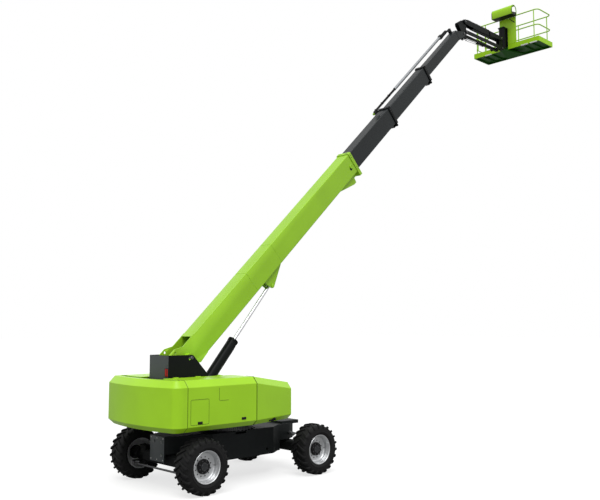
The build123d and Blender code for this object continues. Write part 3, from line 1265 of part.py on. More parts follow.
# Gate in the left end of the platform, on sleeves round the rear gate post
gate_hinge_x = rail_rear_x + GATE_POST_AT
gate_latch_x = rail_front_x - GATE_POST_AT - RAIL_RADIUS - GATE_TUBE_RADIUS - PANEL_GAP
with BuildPart() as platform_gate:
    for sleeve_z in (MID_RAIL_Z - GATE_LOW_BAR_DROP, MID_RAIL_Z + GATE_HIGH_BAR_RISE):
        with BuildSketch(Plane.XY.offset(sleeve_z)):
            with Locations((gate_hinge_x, rail_y)):
                Circle(POST_RADIUS + GATE_SLEEVE)
        extrude(amount=GATE_SLEEVE_HEIGHT / 2, both=True)
        with BuildSketch(Plane.YZ.offset(gate_hinge_x)):
            with Locations((rail_y, sleeve_z)):
                Circle(GATE_TUBE_RADIUS)
        extrude(amount=gate_latch_x - gate_hinge_x)
    with BuildSketch(Plane.YZ.offset(gate_hinge_x + GATE_TOP_BAR_INSET)):
        with Locations((rail_y, TOP_RAIL_Z)):
            Circle(GATE_TUBE_RADIUS)
    extrude(amount=gate_latch_x - gate_hinge_x - GATE_TOP_BAR_INSET)
    for post_x in (gate_hinge_x + GATE_TOP_BAR_INSET, gate_latch_x):
        with BuildSketch(Plane.XY.offset(MID_RAIL_Z - GATE_LOW_BAR_DROP)):
            with Locations((post_x, rail_y)):
                Circle(GATE_TUBE_RADIUS)
        extrude(amount=MID_RAIL_DROP + GATE_LOW_BAR_DROP + GATE_TUBE_RADIUS)
    with BuildSketch(Plane.XY.offset(MID_RAIL_Z - GATE_LOW_BAR_DROP - GATE_SLEEVE_HEIGHT)):
        with Locations((gate_hinge_x, rail_y)):
            Circle(POST_RADIUS + PIN_FIT)
    extrude(amount=MID_RAIL_DROP + GATE_LOW_BAR_DROP, mode=Mode.SUBTRACT)
save(platform_gate.part, "platform_gate")

# Control console outside the rear rail, with its back panel
console_back_x = PLATFORM_REAR_X + TOE_BOARD_PLATE
with BuildPart() as control_console:
    console_plane = Plane.XZ.offset(-(CONSOLE_Y[1] + CONSOLE_Y[0]) / 2)
    for inset, cut in ((0, Mode.ADD), (CONSOLE_SHELL, Mode.SUBTRACT)):
        with BuildSketch(console_plane):
            with BuildLine():
                Polyline(
                    (CONSOLE_REAR_X + inset, CONSOLE_Z[0] + inset),
                    (CONSOLE_REAR_X + inset, CONSOLE_Z[1] - 50),
                    (CONSOLE_REAR_X + 60, CONSOLE_Z[1] - inset),
                    (console_back_x - inset, CONSOLE_Z[1] - 60 - inset),
                    (console_back_x - inset, CONSOLE_Z[0] - 20 + inset),
                    close=True,
                )
            make_face()
        extrude(amount=(CONSOLE_Y[1] - CONSOLE_Y[0]) / 2 - inset, both=True, mode=cut)
    with BuildSketch(Plane.XY.offset(PLATFORM_BOTTOM_Z + TOE_BOARD_HEIGHT)):
        with Locations((console_back_x - TOE_BOARD_PLATE / 2, (PANEL_Y[0] + PANEL_Y[1]) / 2)):
            Rectangle(TOE_BOARD_PLATE, PANEL_Y[1] - PANEL_Y[0])
    extrude(amount=CONSOLE_Z[0] - PLATFORM_BOTTOM_Z - TOE_BOARD_HEIGHT)
save(control_console.part, "control_console")
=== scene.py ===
# %% [markdown]
# A telescopic boom lift carries people up in a railed platform, at the end of a boom that slides
# out of itself. The construction comes from the frame, so every piece here is a finish or a small
# form that lies on a part of known size. Lengths are in metres, and +X points forward along the boom.

# %% Load the frame
import json
import math
import bmesh
import bpy
from mathutils import Matrix, Vector


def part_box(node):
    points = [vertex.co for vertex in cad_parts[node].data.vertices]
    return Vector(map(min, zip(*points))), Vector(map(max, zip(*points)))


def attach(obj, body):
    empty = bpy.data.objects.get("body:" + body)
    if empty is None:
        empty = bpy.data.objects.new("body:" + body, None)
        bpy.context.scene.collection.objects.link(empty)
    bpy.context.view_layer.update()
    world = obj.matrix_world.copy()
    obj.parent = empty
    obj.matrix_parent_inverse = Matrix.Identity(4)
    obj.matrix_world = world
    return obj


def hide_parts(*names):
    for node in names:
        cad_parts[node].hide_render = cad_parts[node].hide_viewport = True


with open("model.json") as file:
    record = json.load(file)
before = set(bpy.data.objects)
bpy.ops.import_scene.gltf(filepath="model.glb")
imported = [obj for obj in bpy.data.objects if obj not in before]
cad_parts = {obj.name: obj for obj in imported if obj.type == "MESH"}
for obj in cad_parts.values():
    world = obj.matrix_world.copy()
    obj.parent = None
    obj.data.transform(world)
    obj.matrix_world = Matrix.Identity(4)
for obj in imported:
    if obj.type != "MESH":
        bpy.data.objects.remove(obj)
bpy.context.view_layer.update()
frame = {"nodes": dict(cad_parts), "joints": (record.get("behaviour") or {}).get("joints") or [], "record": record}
joints = {joint["name"]: joint for joint in frame["joints"]}

# %% [markdown]
# Places on a machine are easiest to name from its own landmarks. The slewing ring's centre is the
# chassis origin, and the boom's pivot and angle give a second frame that runs along the boom.

# %% Landmarks
MACHINE_X = joints["slew"]["pos_m"][0]
BOOM_PIVOT = Vector(joints["boom_lift"]["pos_m"])
BOOM_AXIS = Vector(joints["section_2_slide"]["axis"])
BOOM_UP = Vector((-BOOM_AXIS.z, 0, BOOM_AXIS.x))
CORNERS = ("front_left", "front_right", "rear_left", "rear_right")
WHEEL_CENTRES = {corner: Vector(joints["wheel_spin_" + corner]["pos_m"]) for corner in CORNERS}


def chassis_point(x, y, z):
    """Give a place that is measured from the ground under the slewing ring."""
    return Vector((x + MACHINE_X, y, z))


print("slewing centre", round(MACHINE_X, 4), "boom pivot", [round(c, 3) for c in BOOM_PIVOT])

# %% [markdown]
# The camera stands low behind the machine's right rear corner and looks a little upwards, so the
# boom seems to reach for the sky. Its place was worked out from the wheels, the hoods and the
# platform, whose real sizes are known. A lens of middling length keeps the platform from shrinking.

# %% Camera
CAMERA_FROM_CHASSIS = (-10.435, -13.186, 3.218)
CAMERA_YAW = math.radians(46.247)
CAMERA_PITCH = math.radians(5.551)
LENS_MM, SENSOR_MM = 45.905, 36.0
FARTHEST_SEEN = 500

level = Vector((math.cos(CAMERA_YAW), math.sin(CAMERA_YAW), 0))
forward = level * math.cos(CAMERA_PITCH) + Vector((0, 0, math.sin(CAMERA_PITCH)))
right = Vector((level.y, -level.x, 0))
camera_data = bpy.data.cameras.new("camera")
camera_data.sensor_width, camera_data.lens, camera_data.clip_end = SENSOR_MM, LENS_MM, FARTHEST_SEEN
camera = bpy.data.objects.new("camera", camera_data)
camera.matrix_world = Matrix.Translation(chassis_point(*CAMERA_FROM_CHASSIS)) @ Matrix(
    (right, right.cross(forward), -forward)
).transposed().to_4x4()
bpy.context.scene.collection.objects.link(camera)
bpy.context.scene.camera = camera
bpy.context.scene.view_settings.view_transform = "Standard"
print("camera at", [round(c, 3) for c in camera.location])

# %% [markdown]
# A shader is arithmetic on patterns. Writing it as Python expressions keeps it readable: a Value
# wraps one socket, and each operator on it adds the Math node that does the sum. Every other node
# comes from one method, which takes its type, its settings and what goes into its sockets.


# %% Shader maths
class Value:
    """A number, vector or colour on its way through a material."""

    def __init__(self, graph, socket):
        self.graph = graph
        self.socket = socket

    def maths(self, operation, *others):
        inputs = dict(enumerate((self, *others)))
        return self.graph.node("ShaderNodeMath", {"operation": operation}, inputs)

    def __add__(self, other):
        return self.maths("ADD", other)

    def __mul__(self, other):
        return self.maths("MULTIPLY", other)

    def between(self, low, high):
        """Give 0 below low, 1 above high, and a smooth rise between them."""
        inputs = {"Value": self, "From Min": low, "From Max": high}
        return self.graph.node("ShaderNodeMapRange", {"interpolation_type": "SMOOTHSTEP"}, inputs)


class Graph:
    """One shader tree in the making."""

    def __init__(self, owner):
        owner.use_nodes = True
        self.tree = owner.node_tree
        self.tree.nodes.clear()

    def node(self, kind, settings=None, inputs=None, output=0):
        node = self.tree.nodes.new(kind)
        for key, setting in (settings or {}).items():
            setattr(node, key, setting)
        for key, given in (inputs or {}).items():
            socket = self.find(node.inputs, key)
            if isinstance(given, Value):
                self.tree.links.new(given.socket, socket)
            elif socket.type == "RGBA" and len(given) == 3:
                socket.default_value = (*given, 1.0)
            else:
                socket.default_value = given
        return None if output is None else Value(self, self.find(node.outputs, output))

    def find(self, sockets, key):
        if isinstance(key, int):
            return sockets[key]
        return [socket for socket in sockets if key in (socket.identifier, socket.name)][0]

    def mix(self, factor, first, second):
        """Blend two colours."""
        inputs = {"Factor_Float": factor, "A_Color": first, "B_Color": second}
        return self.node("ShaderNodeMix", {"data_type": "RGBA"}, inputs, "Result_Color")

    def here(self, size=(1, 1, 1), turn=(0, 0, 0)):
        """Give the piece's own coordinates in a turned frame, with each axis in units of its size."""
        place = self.node("ShaderNodeTexCoord", output="Object")
        inputs = {"Vector": place, "Rotation": turn, "Scale": size}
        return self.node("ShaderNodeMapping", {"vector_type": "TEXTURE"}, inputs)

    def along(self, axis):
        """Give one coordinate in metres, X, Y or Z, of the piece's own frame."""
        return self.node("ShaderNodeSeparateXYZ", None, {"Vector": self.here()}, axis)

    def noise(self, size, detail=3.0, turn=(0, 0, 0)):
        """Give a cloudy pattern whose patches have the given size in metres."""
        patch = size if isinstance(size, tuple) else (size, size, size)
        inputs = {"Vector": self.here(patch, turn), "Scale": 1.0, "Detail": detail}
        return self.node("ShaderNodeTexNoise", None, inputs, "Fac")

    def bump(self, height, depth):
        """Turn a height between 0 and 1 into a relief as deep as given, in metres."""
        return self.node("ShaderNodeBump", None, {"Height": height, "Distance": depth}, "Normal")

    def finish(self, sockets):
        """Close the tree with one Principled shader."""
        shader = self.node("ShaderNodeBsdfPrincipled", None, sockets, "BSDF")
        self.node("ShaderNodeOutputMaterial", None, {"Surface": shader}, None)


print("shader maths ready")

# %% [markdown]
# A white studio sweep lights such a product picture from all round, with one broad lamp above and
# to the side to give the faces their different shades. The background's white is only for what
# looks at it straight or in a mirror. What lights the machine stays dimmer, so its colours hold.

# %% Studio light
SKY_FOR_LIGHT = 0.62
SUN_STRENGTH = 2.3
SUN_SPREAD = math.radians(40)
SUN_FROM = Vector((-0.5, -0.62, 1.45))

world = bpy.context.scene.world = bpy.data.worlds.new("studio")
sky = Graph(world)
sees_white = sky.node("ShaderNodeLightPath", output="Is Camera Ray")
for ray in ("Is Glossy Ray", "Is Transmission Ray"):
    sees_white = sees_white.maths("MAXIMUM", sky.node("ShaderNodeLightPath", output=ray))
for_light = sky.node("ShaderNodeBackground", None, {"Color": (1, 1, 1), "Strength": SKY_FOR_LIGHT})
for_eye = sky.node("ShaderNodeBackground", None, {"Color": (1, 1, 1), "Strength": 1.0})
both = sky.node("ShaderNodeMixShader", None, {0: sees_white, 1: for_light, 2: for_eye})
sky.node("ShaderNodeOutputWorld", None, {"Surface": both}, None)

sun_data = bpy.data.lights.new("sun", "SUN")
sun_data.energy = SUN_STRENGTH
sun_data.angle = SUN_SPREAD
sun = bpy.data.objects.new("sun", sun_data)
sun.matrix_world = SUN_FROM.to_track_quat("Z", "Y").to_matrix().to_4x4()
bpy.context.scene.collection.objects.link(sun)
print("sun strength", SUN_STRENGTH, "sky", SKY_FOR_LIGHT)

# %% [markdown]
# The floor is one large pale sheet. To the camera it glows a little, so that it meets the white
# background with no line, and the machine's shadow still shows where the lamp doesn't reach.

# %% Floor
FLOOR_HALF_SIZE = 150.0
FLOOR_COLOUR = (0.3, 0.3, 0.3)
FLOOR_GLOW = 0.72


def mesh_object(name, mesh, material=None):
    """Put a mesh into the scene under a name."""
    piece = bpy.data.objects.new(name, mesh)
    bpy.context.scene.collection.objects.link(piece)
    if material:
        mesh.materials.clear()
        mesh.materials.append(material)
    return piece


floor_paper = bpy.data.materials.new("floor_paper")
paper = Graph(floor_paper)
fibre = paper.bump(paper.noise(0.004), 0.0002)
matt = paper.node("ShaderNodeBsdfDiffuse", None, {"Color": FLOOR_COLOUR, "Normal": fibre})
glow_for_eye = paper.node("ShaderNodeLightPath", output="Is Camera Ray") * FLOOR_GLOW
glow = paper.node("ShaderNodeEmission", None, {"Strength": glow_for_eye})
lit = paper.node("ShaderNodeAddShader", None, {0: matt, 1: glow})
paper.node("ShaderNodeOutputMaterial", None, {"Surface": lit}, None)

floor_mesh = bpy.data.meshes.new("floor")
corners = [(x * FLOOR_HALF_SIZE, y * FLOOR_HALF_SIZE, 0) for x, y in ((-1, -1), (1, -1), (1, 1), (-1, 1))]
floor_mesh.from_pydata(corners, [], [(0, 1, 2, 3)])
mesh_object("floor", floor_mesh, floor_paper)
print("floor", 2 * FLOOR_HALF_SIZE, "m across")

# %% [markdown]
# Most of the machine is sprayed steel or moulded skins. Real paint isn't one colour: the shade
# drifts slowly over a panel, the skin has a fine orange peel, and the gloss varies with handling.
# One function gives that finish, and each paint is a call with its own colour and gloss.

# %% Paints
BOOM_TURN = (0, -math.atan2(BOOM_AXIS.z, BOOM_AXIS.x), 0)
finishes = {}
DUST_COLOUR = (0.24, 0.23, 0.2)
# The next two set where the platform floor's underside gets a darker green as painted shade.
FLOOR_EDGE = 0.008  # how far the floor's rim is left bright, from its outside
FLOOR_SHADE_UP_TO = 0.0535  # height over the platform's lower edge


def new_finish(name):
    """Start a finish and give its empty graph."""
    finishes[name] = bpy.data.materials.new(name)
    return Graph(finishes[name])


def shaded(colour, factor):
    """Make a colour lighter or darker."""
    return tuple(min(1.0, channel * factor) for channel in colour)


def painted_shade_under_floor(graph):
    """Give 1 where the painted shade goes, under the platform's floor and inside its rim, and 0 elsewhere."""
    low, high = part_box("platform_floor")
    bright = low[2] + FLOOR_SHADE_UP_TO
    inside = graph.along("Z").between(bright, bright - 0.002)
    for axis, start, end in (("X", low[0], high[0]), ("Y", low[1], high[1])):
        place = graph.along(axis)
        inside = inside * place.between(start + FLOOR_EDGE, start + FLOOR_EDGE + 0.001)
        inside = inside * place.between(end - FLOOR_EDGE, end - FLOOR_EDGE - 0.001)
    return inside


def paint(
    name, colour, roughness, coat=0.0, drift=0.1, dust=0.0, shine=0.3, peel=0.00002, metallic=0.0, below=None
):
    """Make a sprayed finish, with another colour painted as shade under the platform's floor where one is given.
    """
    graph = new_finish(name)
    cloud = graph.noise(0.7, 4)
    skin = graph.mix(cloud.between(0.25, 0.75), shaded(colour, 1 - drift), shaded(colour, 1 + drift))
    grime = graph.noise((0.06, 0.06, 0.25), 6).between(0.56, 0.86) * dust
    # Where a second colour is given, it is painted as shade under the platform's floor
    if below:
        skin = graph.mix(painted_shade_under_floor(graph), skin, below)
    coloured = graph.mix(grime, skin, DUST_COLOUR)
    gloss = cloud * 0.1 + graph.noise(0.03, 5) * 0.08 + grime * 0.4 + (roughness - 0.09)
    graph.finish({
        "Base Color": coloured, "Roughness": gloss, "Metallic": metallic, "Specular IOR Level": shine,
        "Coat Weight": coat, "Coat Roughness": 0.15, "Normal": graph.bump(graph.noise(0.0022, 2), peel),
    })


HOOD_GREEN = (0.35, 0.66, 0.016)
BOOM_GREEN = (0.3, 0.57, 0.018)
# A darker green, painted as shade on the platform's underside and on the parts beneath it
UNDERSIDE_PAINTED_SHADE = (0.011, 0.082, 0.003)
SLATE = (0.0095, 0.0125, 0.0135)
# After the colour come the roughness, the coat, the drift of the shade, the dust and the shine
paint("hood_paint", HOOD_GREEN, 0.32, 0.1, 0.035)
paint("cast_paint", HOOD_GREEN, 0.38, 0.06, 0.04, peel=0.00012)
paint("boom_paint", BOOM_GREEN, 0.38, 0.06, 0.04)
paint("platform_paint", HOOD_GREEN, 0.4, 0.05, 0.05)
# The floor's paint is green on top and the painted-shade green underneath; the next paint is that painted shade
# alone
paint("floor_paint", HOOD_GREEN, 0.44, 0.0, 0.05, shine=0.15, below=UNDERSIDE_PAINTED_SHADE)
paint("underside_painted_shade", UNDERSIDE_PAINTED_SHADE, 0.6, shine=0.08)
paint("black_paint", (0.005, 0.0058, 0.0062), 0.4, 0.0, 0.25, 0.01, 0.1)
paint("frame_paint", (0.012, 0.014, 0.0145), 0.5, 0.0, 0.25, 0.02, 0.1)
paint("rough_casting", (0.009, 0.0095, 0.01), 0.6, 0.0, 0.3, 0.08, 0.1, peel=0.0006)
paint("hub_black", (0.006, 0.006, 0.0065), 0.45, 0.0, 0.2, 0.02, 0.15)
paint("cap_grey", (0.03, 0.032, 0.034), 0.42, dust=0.02, shine=0.2)
# A grey for the chassis's rear cover plate, also laid as painted light on the pedestal's rear face
paint("plate_grey_and_painted_light", (0.058, 0.066, 0.07), 0.42, 0.03, dust=0.04)
paint("wheel_silver", (0.56, 0.57, 0.58), 0.34, 0.1, 0.05, metallic=0.7)
paint("pale_plate", (0.72, 0.73, 0.73), 0.5, 0.0, 0.05)
paint("bracket_grey", (0.17, 0.175, 0.18), 0.5, metallic=0.2)
paint("tank_plastic", (0.012, 0.012, 0.0125), 0.55, peel=0.0003)
paint("engine_metal", (0.2, 0.2, 0.21), 0.5, dust=0.15, peel=0.0006, metallic=0.7)
print(len(finishes), "paints")

# %% [markdown]
# The sliding tubes are dark paint too, but wear pads rub on them. That leaves long faint streaks
# along the tube, so the pattern is stretched in the boom's own direction.

# %% Sliding tubes
def sliding_paint(name, colour):
    graph = new_finish(name)
    streak = graph.noise((2.4, 0.012, 0.012), 4, BOOM_TURN)
    cloud = graph.noise(0.5, 4)
    worn = streak.between(0.58, 0.82)
    skin = graph.mix(cloud.between(0.3, 0.7), shaded(colour, 0.86), shaded(colour, 1.14))
    graph.finish({
        "Base Color": graph.mix(worn * 0.35, skin, shaded(colour, 3.2)),
        "Roughness": streak * 0.16 + cloud * 0.08 + 0.26, "Specular IOR Level": 0.22,
        "Normal": graph.bump(streak * 0.5 + graph.noise(0.0022, 2), 0.00003),
    })


sliding_paint("slate_paint", SLATE)

# %% [markdown]
# Bare metal is bright with duller spots. Rubber and plastic have a moulded grain and some dust. A
# metal's grain is as long as its tool marks, so the chromed rods have it stretched lengthways.


# %% Bare metals, rubber and plastic
def metal(name, colour, roughness, grain=0.002, depth=0.00003, tarnish=0.3):
    graph = new_finish(name)
    spots = graph.noise(0.05, 5)
    lines = graph.noise(grain, 3)
    graph.finish({
        "Base Color": graph.mix(spots.between(0.45, 0.8) * tarnish, colour, shaded(colour, 0.55)),
        "Roughness": spots * 0.18 + lines * 0.1 + (roughness - 0.14), "Metallic": 1.0,
        "Normal": graph.bump(lines, depth),
    })


def moulding(name, colour, roughness, grain=0.0012, depth=0.00012, dust=0.1):
    """Make a rubber or plastic finish with a fine moulded grain."""
    graph = new_finish(name)
    cloud = graph.noise(0.12, 5)
    powder = graph.noise(0.025, 6).between(0.5, 0.85) * dust
    skin = graph.mix(cloud, shaded(colour, 0.8), shaded(colour, 1.2))
    graph.finish({
        "Base Color": graph.mix(powder, skin, DUST_COLOUR),
        "Roughness": cloud * 0.14 + powder * 0.3 + (roughness - 0.07), "Specular IOR Level": 0.2,
        "Normal": graph.bump(graph.noise(grain, 3), depth),
    })


metal("chrome", (0.82, 0.83, 0.85), 0.1, (0.4, 0.0008, 0.0008), 0.000004, 0.08)
metal("zinc", (0.55, 0.55, 0.53), 0.38)
metal("dark_steel", (0.11, 0.11, 0.115), 0.42)
metal("galvanised", (0.25, 0.26, 0.27), 0.5, 0.012, 0.00006, 0.5)
metal("tread_sheet", (0.3, 0.31, 0.31), 0.5, 0.01, 0.00005, 0.5)
moulding("tyre_rubber", (0.0055, 0.0055, 0.0058), 0.68, 0.0025, 0.0003, 0.025)
moulding("hose_rubber", (0.006, 0.006, 0.0065), 0.5, 0.003, 0.0002, 0.03)
moulding("black_plastic", (0.008, 0.008, 0.0085), 0.45, dust=0.03)
moulding("grey_plastic", (0.1, 0.11, 0.11), 0.5)
moulding("wear_pad", (0.55, 0.53, 0.46), 0.5)
moulding("seal_rubber", (0.01, 0.01, 0.01), 0.7)
moulding("red_lens", (0.52, 0.012, 0.01), 0.22, 0.004, 0.0004, 0.0)
moulding("clear_lens", (0.75, 0.77, 0.78), 0.15, 0.004, 0.0004, 0.0)
moulding("red_button", (0.6, 0.02, 0.012), 0.35)
moulding("yellow_plastic", (0.72, 0.42, 0.01), 0.4)
print(len(finishes), "finishes")

# %% [markdown]
# Each node of the frame gets the finish of the real piece, except the platform's mount, which is
# painted dark green as shade. The pieces made later cover some of these nodes, and what stays in
# view already looks right.

# %% Dress the nodes
NODE_FINISH = {  # finish: how the names of its nodes begin
    "frame_paint": ("chassis_frame", "turntable_deck"), "rough_casting": ("axle", "knuckle"),
    "dark_steel": ("tie_rod", "slew_ring"), "tyre_rubber": ("tyre",), "wheel_silver": ("rim",),
    "cast_paint": ("counterweight",), "hood_paint": ("front_cowls", "hood_door"),
    "engine_metal": ("engine_block",), "tank_plastic": ("fluid_tanks",), "red_lens": ("rear_lamps",),
    "boom_paint": ("boom_base",), "slate_paint": ("boom_section",), "galvanised": ("hose_pipe",),
    # The platform's mount gets the darker green painted as shade
    "chrome": ("lift_rod", "jib_rod"), "underside_painted_shade": ("platform_mount",),
    "black_paint": ("pedestal", "lift_barrel", "level_bracket", "jib_", "platform_support"),
    "floor_paint": ("platform_floor",), "platform_paint": ("platform_", "control_console"),
}


def finish_name(node):
    """Give the first finish that has a beginning of the node's name."""
    return next(finish for finish, starts in NODE_FINISH.items() if node.startswith(starts))


for node_name, node_object in frame["nodes"].items():
    node_object.data.materials.clear()
    node_object.data.materials.append(finishes[finish_name(node_name)])
print("dressed", len(frame["nodes"]), "nodes")

# %% [markdown]
# Small solid forms are gathered in one mesh per piece. A form is given in the frame of what carries
# it, the chassis, the boom or a cylinder, and the piece is closed, rounded and put on its body.

# %% Solid shapes
CHASSIS = Matrix.Translation((MACHINE_X, 0, 0))
BOOM = Matrix.Translation(BOOM_PIVOT) @ Matrix((BOOM_AXIS, (0, 1, 0), BOOM_UP)).transposed().to_4x4()
bodies = frame["record"]["behaviour"]["bodies"]
BODY_OF = {node: body for body, nodes in bodies.items() for node in nodes}
SHARP = math.radians(32)
FLAT = math.radians(0.5)
SLOT_OF = {
    "hood_paint": "hood_green", "cast_paint": "cast_green", "boom_paint": "paint_green_boom",
    "platform_paint": "paint_green", "black_paint": "paint_black", "frame_paint": "paint_dark",
    "slate_paint": "paint_dark", "rough_casting": "cast_dark", "dark_steel": "steel_dark",
    "wheel_silver": "rim_paint", "tyre_rubber": "tyre_rubber", "engine_metal": "engine_metal",
    "tank_plastic": "tank_plastic", "red_lens": "lamp_red", "galvanised": "pipe_grey",
}


def turned_frame(x, z, angle):
    """Give the frame of a part that leans up from the chassis by an angle in degrees."""
    return CHASSIS @ Matrix.Translation((x, 0, z)) @ Matrix.Rotation(-math.radians(angle), 4, "Y")


class Shape:
    """A mesh in the making, whose forms are given in the frame of what carries them."""

    def __init__(self, place=CHASSIS):
        self.place = place
        self.mesh = bmesh.new()

    def solid(self, points, faces):
        corners = [self.mesh.verts.new(self.place @ Vector(point)) for point in points]
        for face in faces:
            self.mesh.faces.new([corners[index] for index in face])
        return self

    def prism(self, axis, outline, low, high):
        """Draw a flat outline out along x, y or z."""
        count = len(outline)
        points = [list(pair) for pair in (*outline, *outline)]
        for index, point in enumerate(points):
            point.insert("xyz".index(axis), low if index < count else high)
        sides = [(i, (i + 1) % count, count + (i + 1) % count, count + i) for i in range(count)]
        return self.solid(points, [tuple(range(count)), tuple(range(count, 2 * count)), *sides])

    def box(self, low, high):
        (x, y, z), (far_x, far_y, far_z) = low, high
        return self.prism("z", [(x, y), (far_x, y), (far_x, far_y), (x, far_y)], z, far_z)

    def twins(self, low, high):
        """Draw a box and its mirror image on the machine's other side."""
        for side in (-1, 1):
            self.box((low[0], side * low[1], low[2]), (high[0], side * high[1], high[2]))
        return self

    def lathe(self, centre, axis, profile, steps=32, closed=False):
        """Turn a profile of (along, radius) pairs round an axis."""
        axis = Vector(axis).normalized()
        side = axis.orthogonal().normalized()
        rings = []
        for along, radius in profile:
            ring = []
            for step in range(steps if radius > 1e-6 else 1):
                spoke = Matrix.Rotation(math.tau * step / steps, 3, axis) @ side * radius
                ring.append(self.mesh.verts.new(self.place @ (Vector(centre) + axis * along + spoke)))
            rings.append(ring)
        for first, second in zip(rings, rings[1:] + rings[:1] if closed else rings[1:]):
            for step in range(steps):
                pairs = ((first, step), (first, step + 1), (second, step + 1), (second, step))
                corners = [ring[place % len(ring)] for ring, place in pairs]
                self.mesh.faces.new(list(dict.fromkeys(corners)))
        return self

    def rod(self, first, second, radius, chamfer=0.002, steps=24):
        line, flat = Vector(second) - Vector(first), radius - chamfer
        end = line.length
        profile = [(0, 0), (0, flat), (chamfer, radius), (end - chamfer, radius), (end, flat), (end, 0)]
        return self.lathe(first, line, profile, steps)

    def add_node(self, node):
        """Take over a node's own form, with its flat faces made whole."""
        self.place = Matrix()
        self.mesh.from_mesh(frame["nodes"][node].data)
        bmesh.ops.remove_doubles(self.mesh, verts=self.mesh.verts, dist=1e-5)
        all_of = {"verts": self.mesh.verts, "edges": self.mesh.edges}
        bmesh.ops.dissolve_limit(self.mesh, angle_limit=FLAT, **all_of)
        return self

    def round_off(self, width, steps=2):
        """Round the sharp outer edges of the faces that are broad enough for the width."""
        bmesh.ops.recalc_face_normals(self.mesh, faces=self.mesh.faces)
        edges = []
        for edge in self.mesh.edges:
            length = edge.calc_length()
            folded = edge.is_manifold and edge.is_convex and edge.calc_face_angle(0) > SHARP
            if folded and length > 1.2 * width:
                if min(face.calc_area() for face in edge.link_faces) > 2.4 * width * length:
                    edges.append(edge)
        how = {"segments": steps, "profile": 0.5, "affect": "EDGES", "clamp_overlap": True}
        bmesh.ops.bevel(self.mesh, geom=edges, offset=width, **how)
        return self

    def plain(self, name):
        """Give the closed mesh, with its faces turned outwards."""
        bmesh.ops.recalc_face_normals(self.mesh, faces=self.mesh.faces)
        mesh = bpy.data.meshes.new(name)
        self.mesh.to_mesh(mesh)
        self.mesh.free()
        return mesh

    def done(self, name, body, finish, replaces=()):
        piece_on(name, self.plain(name), body, finish, replaces)


def piece_on(name, mesh, body, finish, replaces=()):
    """Put a finished mesh on its body."""
    mesh.polygons.foreach_set("use_smooth", [True] * len(mesh.polygons))
    mesh.set_sharp_from_angle(angle=SHARP)
    piece = mesh_object(name, mesh, finishes[finish])
    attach(piece, body)
    if replaces:
        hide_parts(*replaces)
    finish in SLOT_OF
    return piece


def rounded(node, *widths):
    """Stand in for a node with its own form, its edges rounded from the widest width down."""
    shape = Shape().add_node(node)
    for width in widths:
        shape.round_off(width)
    name = node + "_skin"
    piece = piece_on(name, shape.plain(name), BODY_OF[node], finish_name(node), [node])
    piece.modifiers.new("even_light", "WEIGHTED_NORMAL").keep_sharp = True


print("shape tools ready")

# %% [markdown]
# What repeats, or follows a line, comes from Geometry Nodes. Each tree is drawn here by the same
# method as the shaders. Its named inputs are set on the modifier, the result is taken as a plain
# mesh, and the modifier goes.


# %% Geometry Nodes trees
class Tree(Graph):
    """One Geometry Nodes tree with named inputs."""

    def __init__(self, name, inputs):
        self.tree = bpy.data.node_groups.new(name, "GeometryNodeTree")
        sides = self.tree.interface
        sides.new_socket("Geometry", in_out="INPUT", socket_type="NodeSocketGeometry")
        for label, kind in {**inputs, "Finish": "Material"}.items():
            sides.new_socket(label, in_out="INPUT", socket_type="NodeSocket" + kind)
        sides.new_socket("Geometry", in_out="OUTPUT", socket_type="NodeSocketGeometry")
        self.entrance = self.tree.nodes.new("NodeGroupInput")

    def given(self, label):
        return Value(self, self.find(self.entrance.outputs, label))

    def scaled(self, vector, factor):
        settings = {"operation": "SCALE"}
        return self.node("ShaderNodeVectorMath", settings, {"Vector": vector, "Scale": factor})

    def close(self, geometry):
        plain = self.node("GeometryNodeRealizeInstances", None, {"Geometry": geometry})
        inputs = {"Geometry": plain, "Material": self.given("Finish")}
        painted = self.node("GeometryNodeSetMaterial", None, inputs)
        self.node("NodeGroupOutput", None, {"Geometry": painted}, None)


def grow(name, mesh, tree, finish, **values):
    """Run a mesh through a tree and give the plain mesh that comes out."""
    seed = mesh_object(name, mesh)
    modifier = seed.modifiers.new("grow", "NODES")
    modifier.node_group = tree.tree
    values["finish"] = finishes[finish]
    for item in tree.tree.interface.items_tree:
        if item.in_out == "INPUT" and item.name.lower() in values:
            modifier[item.identifier] = values[item.name.lower()]
    bpy.context.view_layer.update()
    depsgraph = bpy.context.evaluated_depsgraph_get()
    grown = bpy.data.meshes.new_from_object(seed.evaluated_get(depsgraph), depsgraph=depsgraph)
    seed.modifiers.remove(modifier)
    bpy.data.objects.remove(seed)
    return grown


REPEAT = Tree("repeat", {"Count": "Int", "Start": "Vector", "Step": "Vector", "Turn": "Vector"})
index = REPEAT.node("GeometryNodeInputIndex")
inputs = {0: REPEAT.given("Start"), 1: REPEAT.scaled(REPEAT.given("Step"), index)}
place = REPEAT.node("ShaderNodeVectorMath", {"operation": "ADD"}, inputs)
points = REPEAT.node("GeometryNodePoints", None, {"Count": REPEAT.given("Count"), "Position": place})
turn = REPEAT.scaled(REPEAT.given("Turn"), index)
turn = REPEAT.node("FunctionNodeEulerToRotation", None, {"Euler": turn})
inputs = {"Points": points, "Instance": REPEAT.given("Geometry"), "Rotation": turn}
REPEAT.close(REPEAT.node("GeometryNodeInstanceOnPoints", None, inputs))

TUBE = Tree("tube", {"Radius": "Float", "Bend": "Float", "Sides": "Int"})
curve = TUBE.node("GeometryNodeMeshToCurve", None, {"Mesh": TUBE.given("Geometry")})
inputs = {"Curve": curve, "Radius": TUBE.given("Bend"), "Limit Radius": True, "Count": 6}
curve = TUBE.node("GeometryNodeFilletCurve", {"mode": "POLY"}, inputs)
inputs = {"Resolution": TUBE.given("Sides"), "Radius": TUBE.given("Radius")}
circle = TUBE.node("GeometryNodeCurvePrimitiveCircle", {"mode": "RADIUS"}, inputs)
inputs = {"Curve": curve, "Profile Curve": circle, "Fill Caps": True}
TUBE.close(TUBE.node("GeometryNodeCurveToMesh", None, inputs))

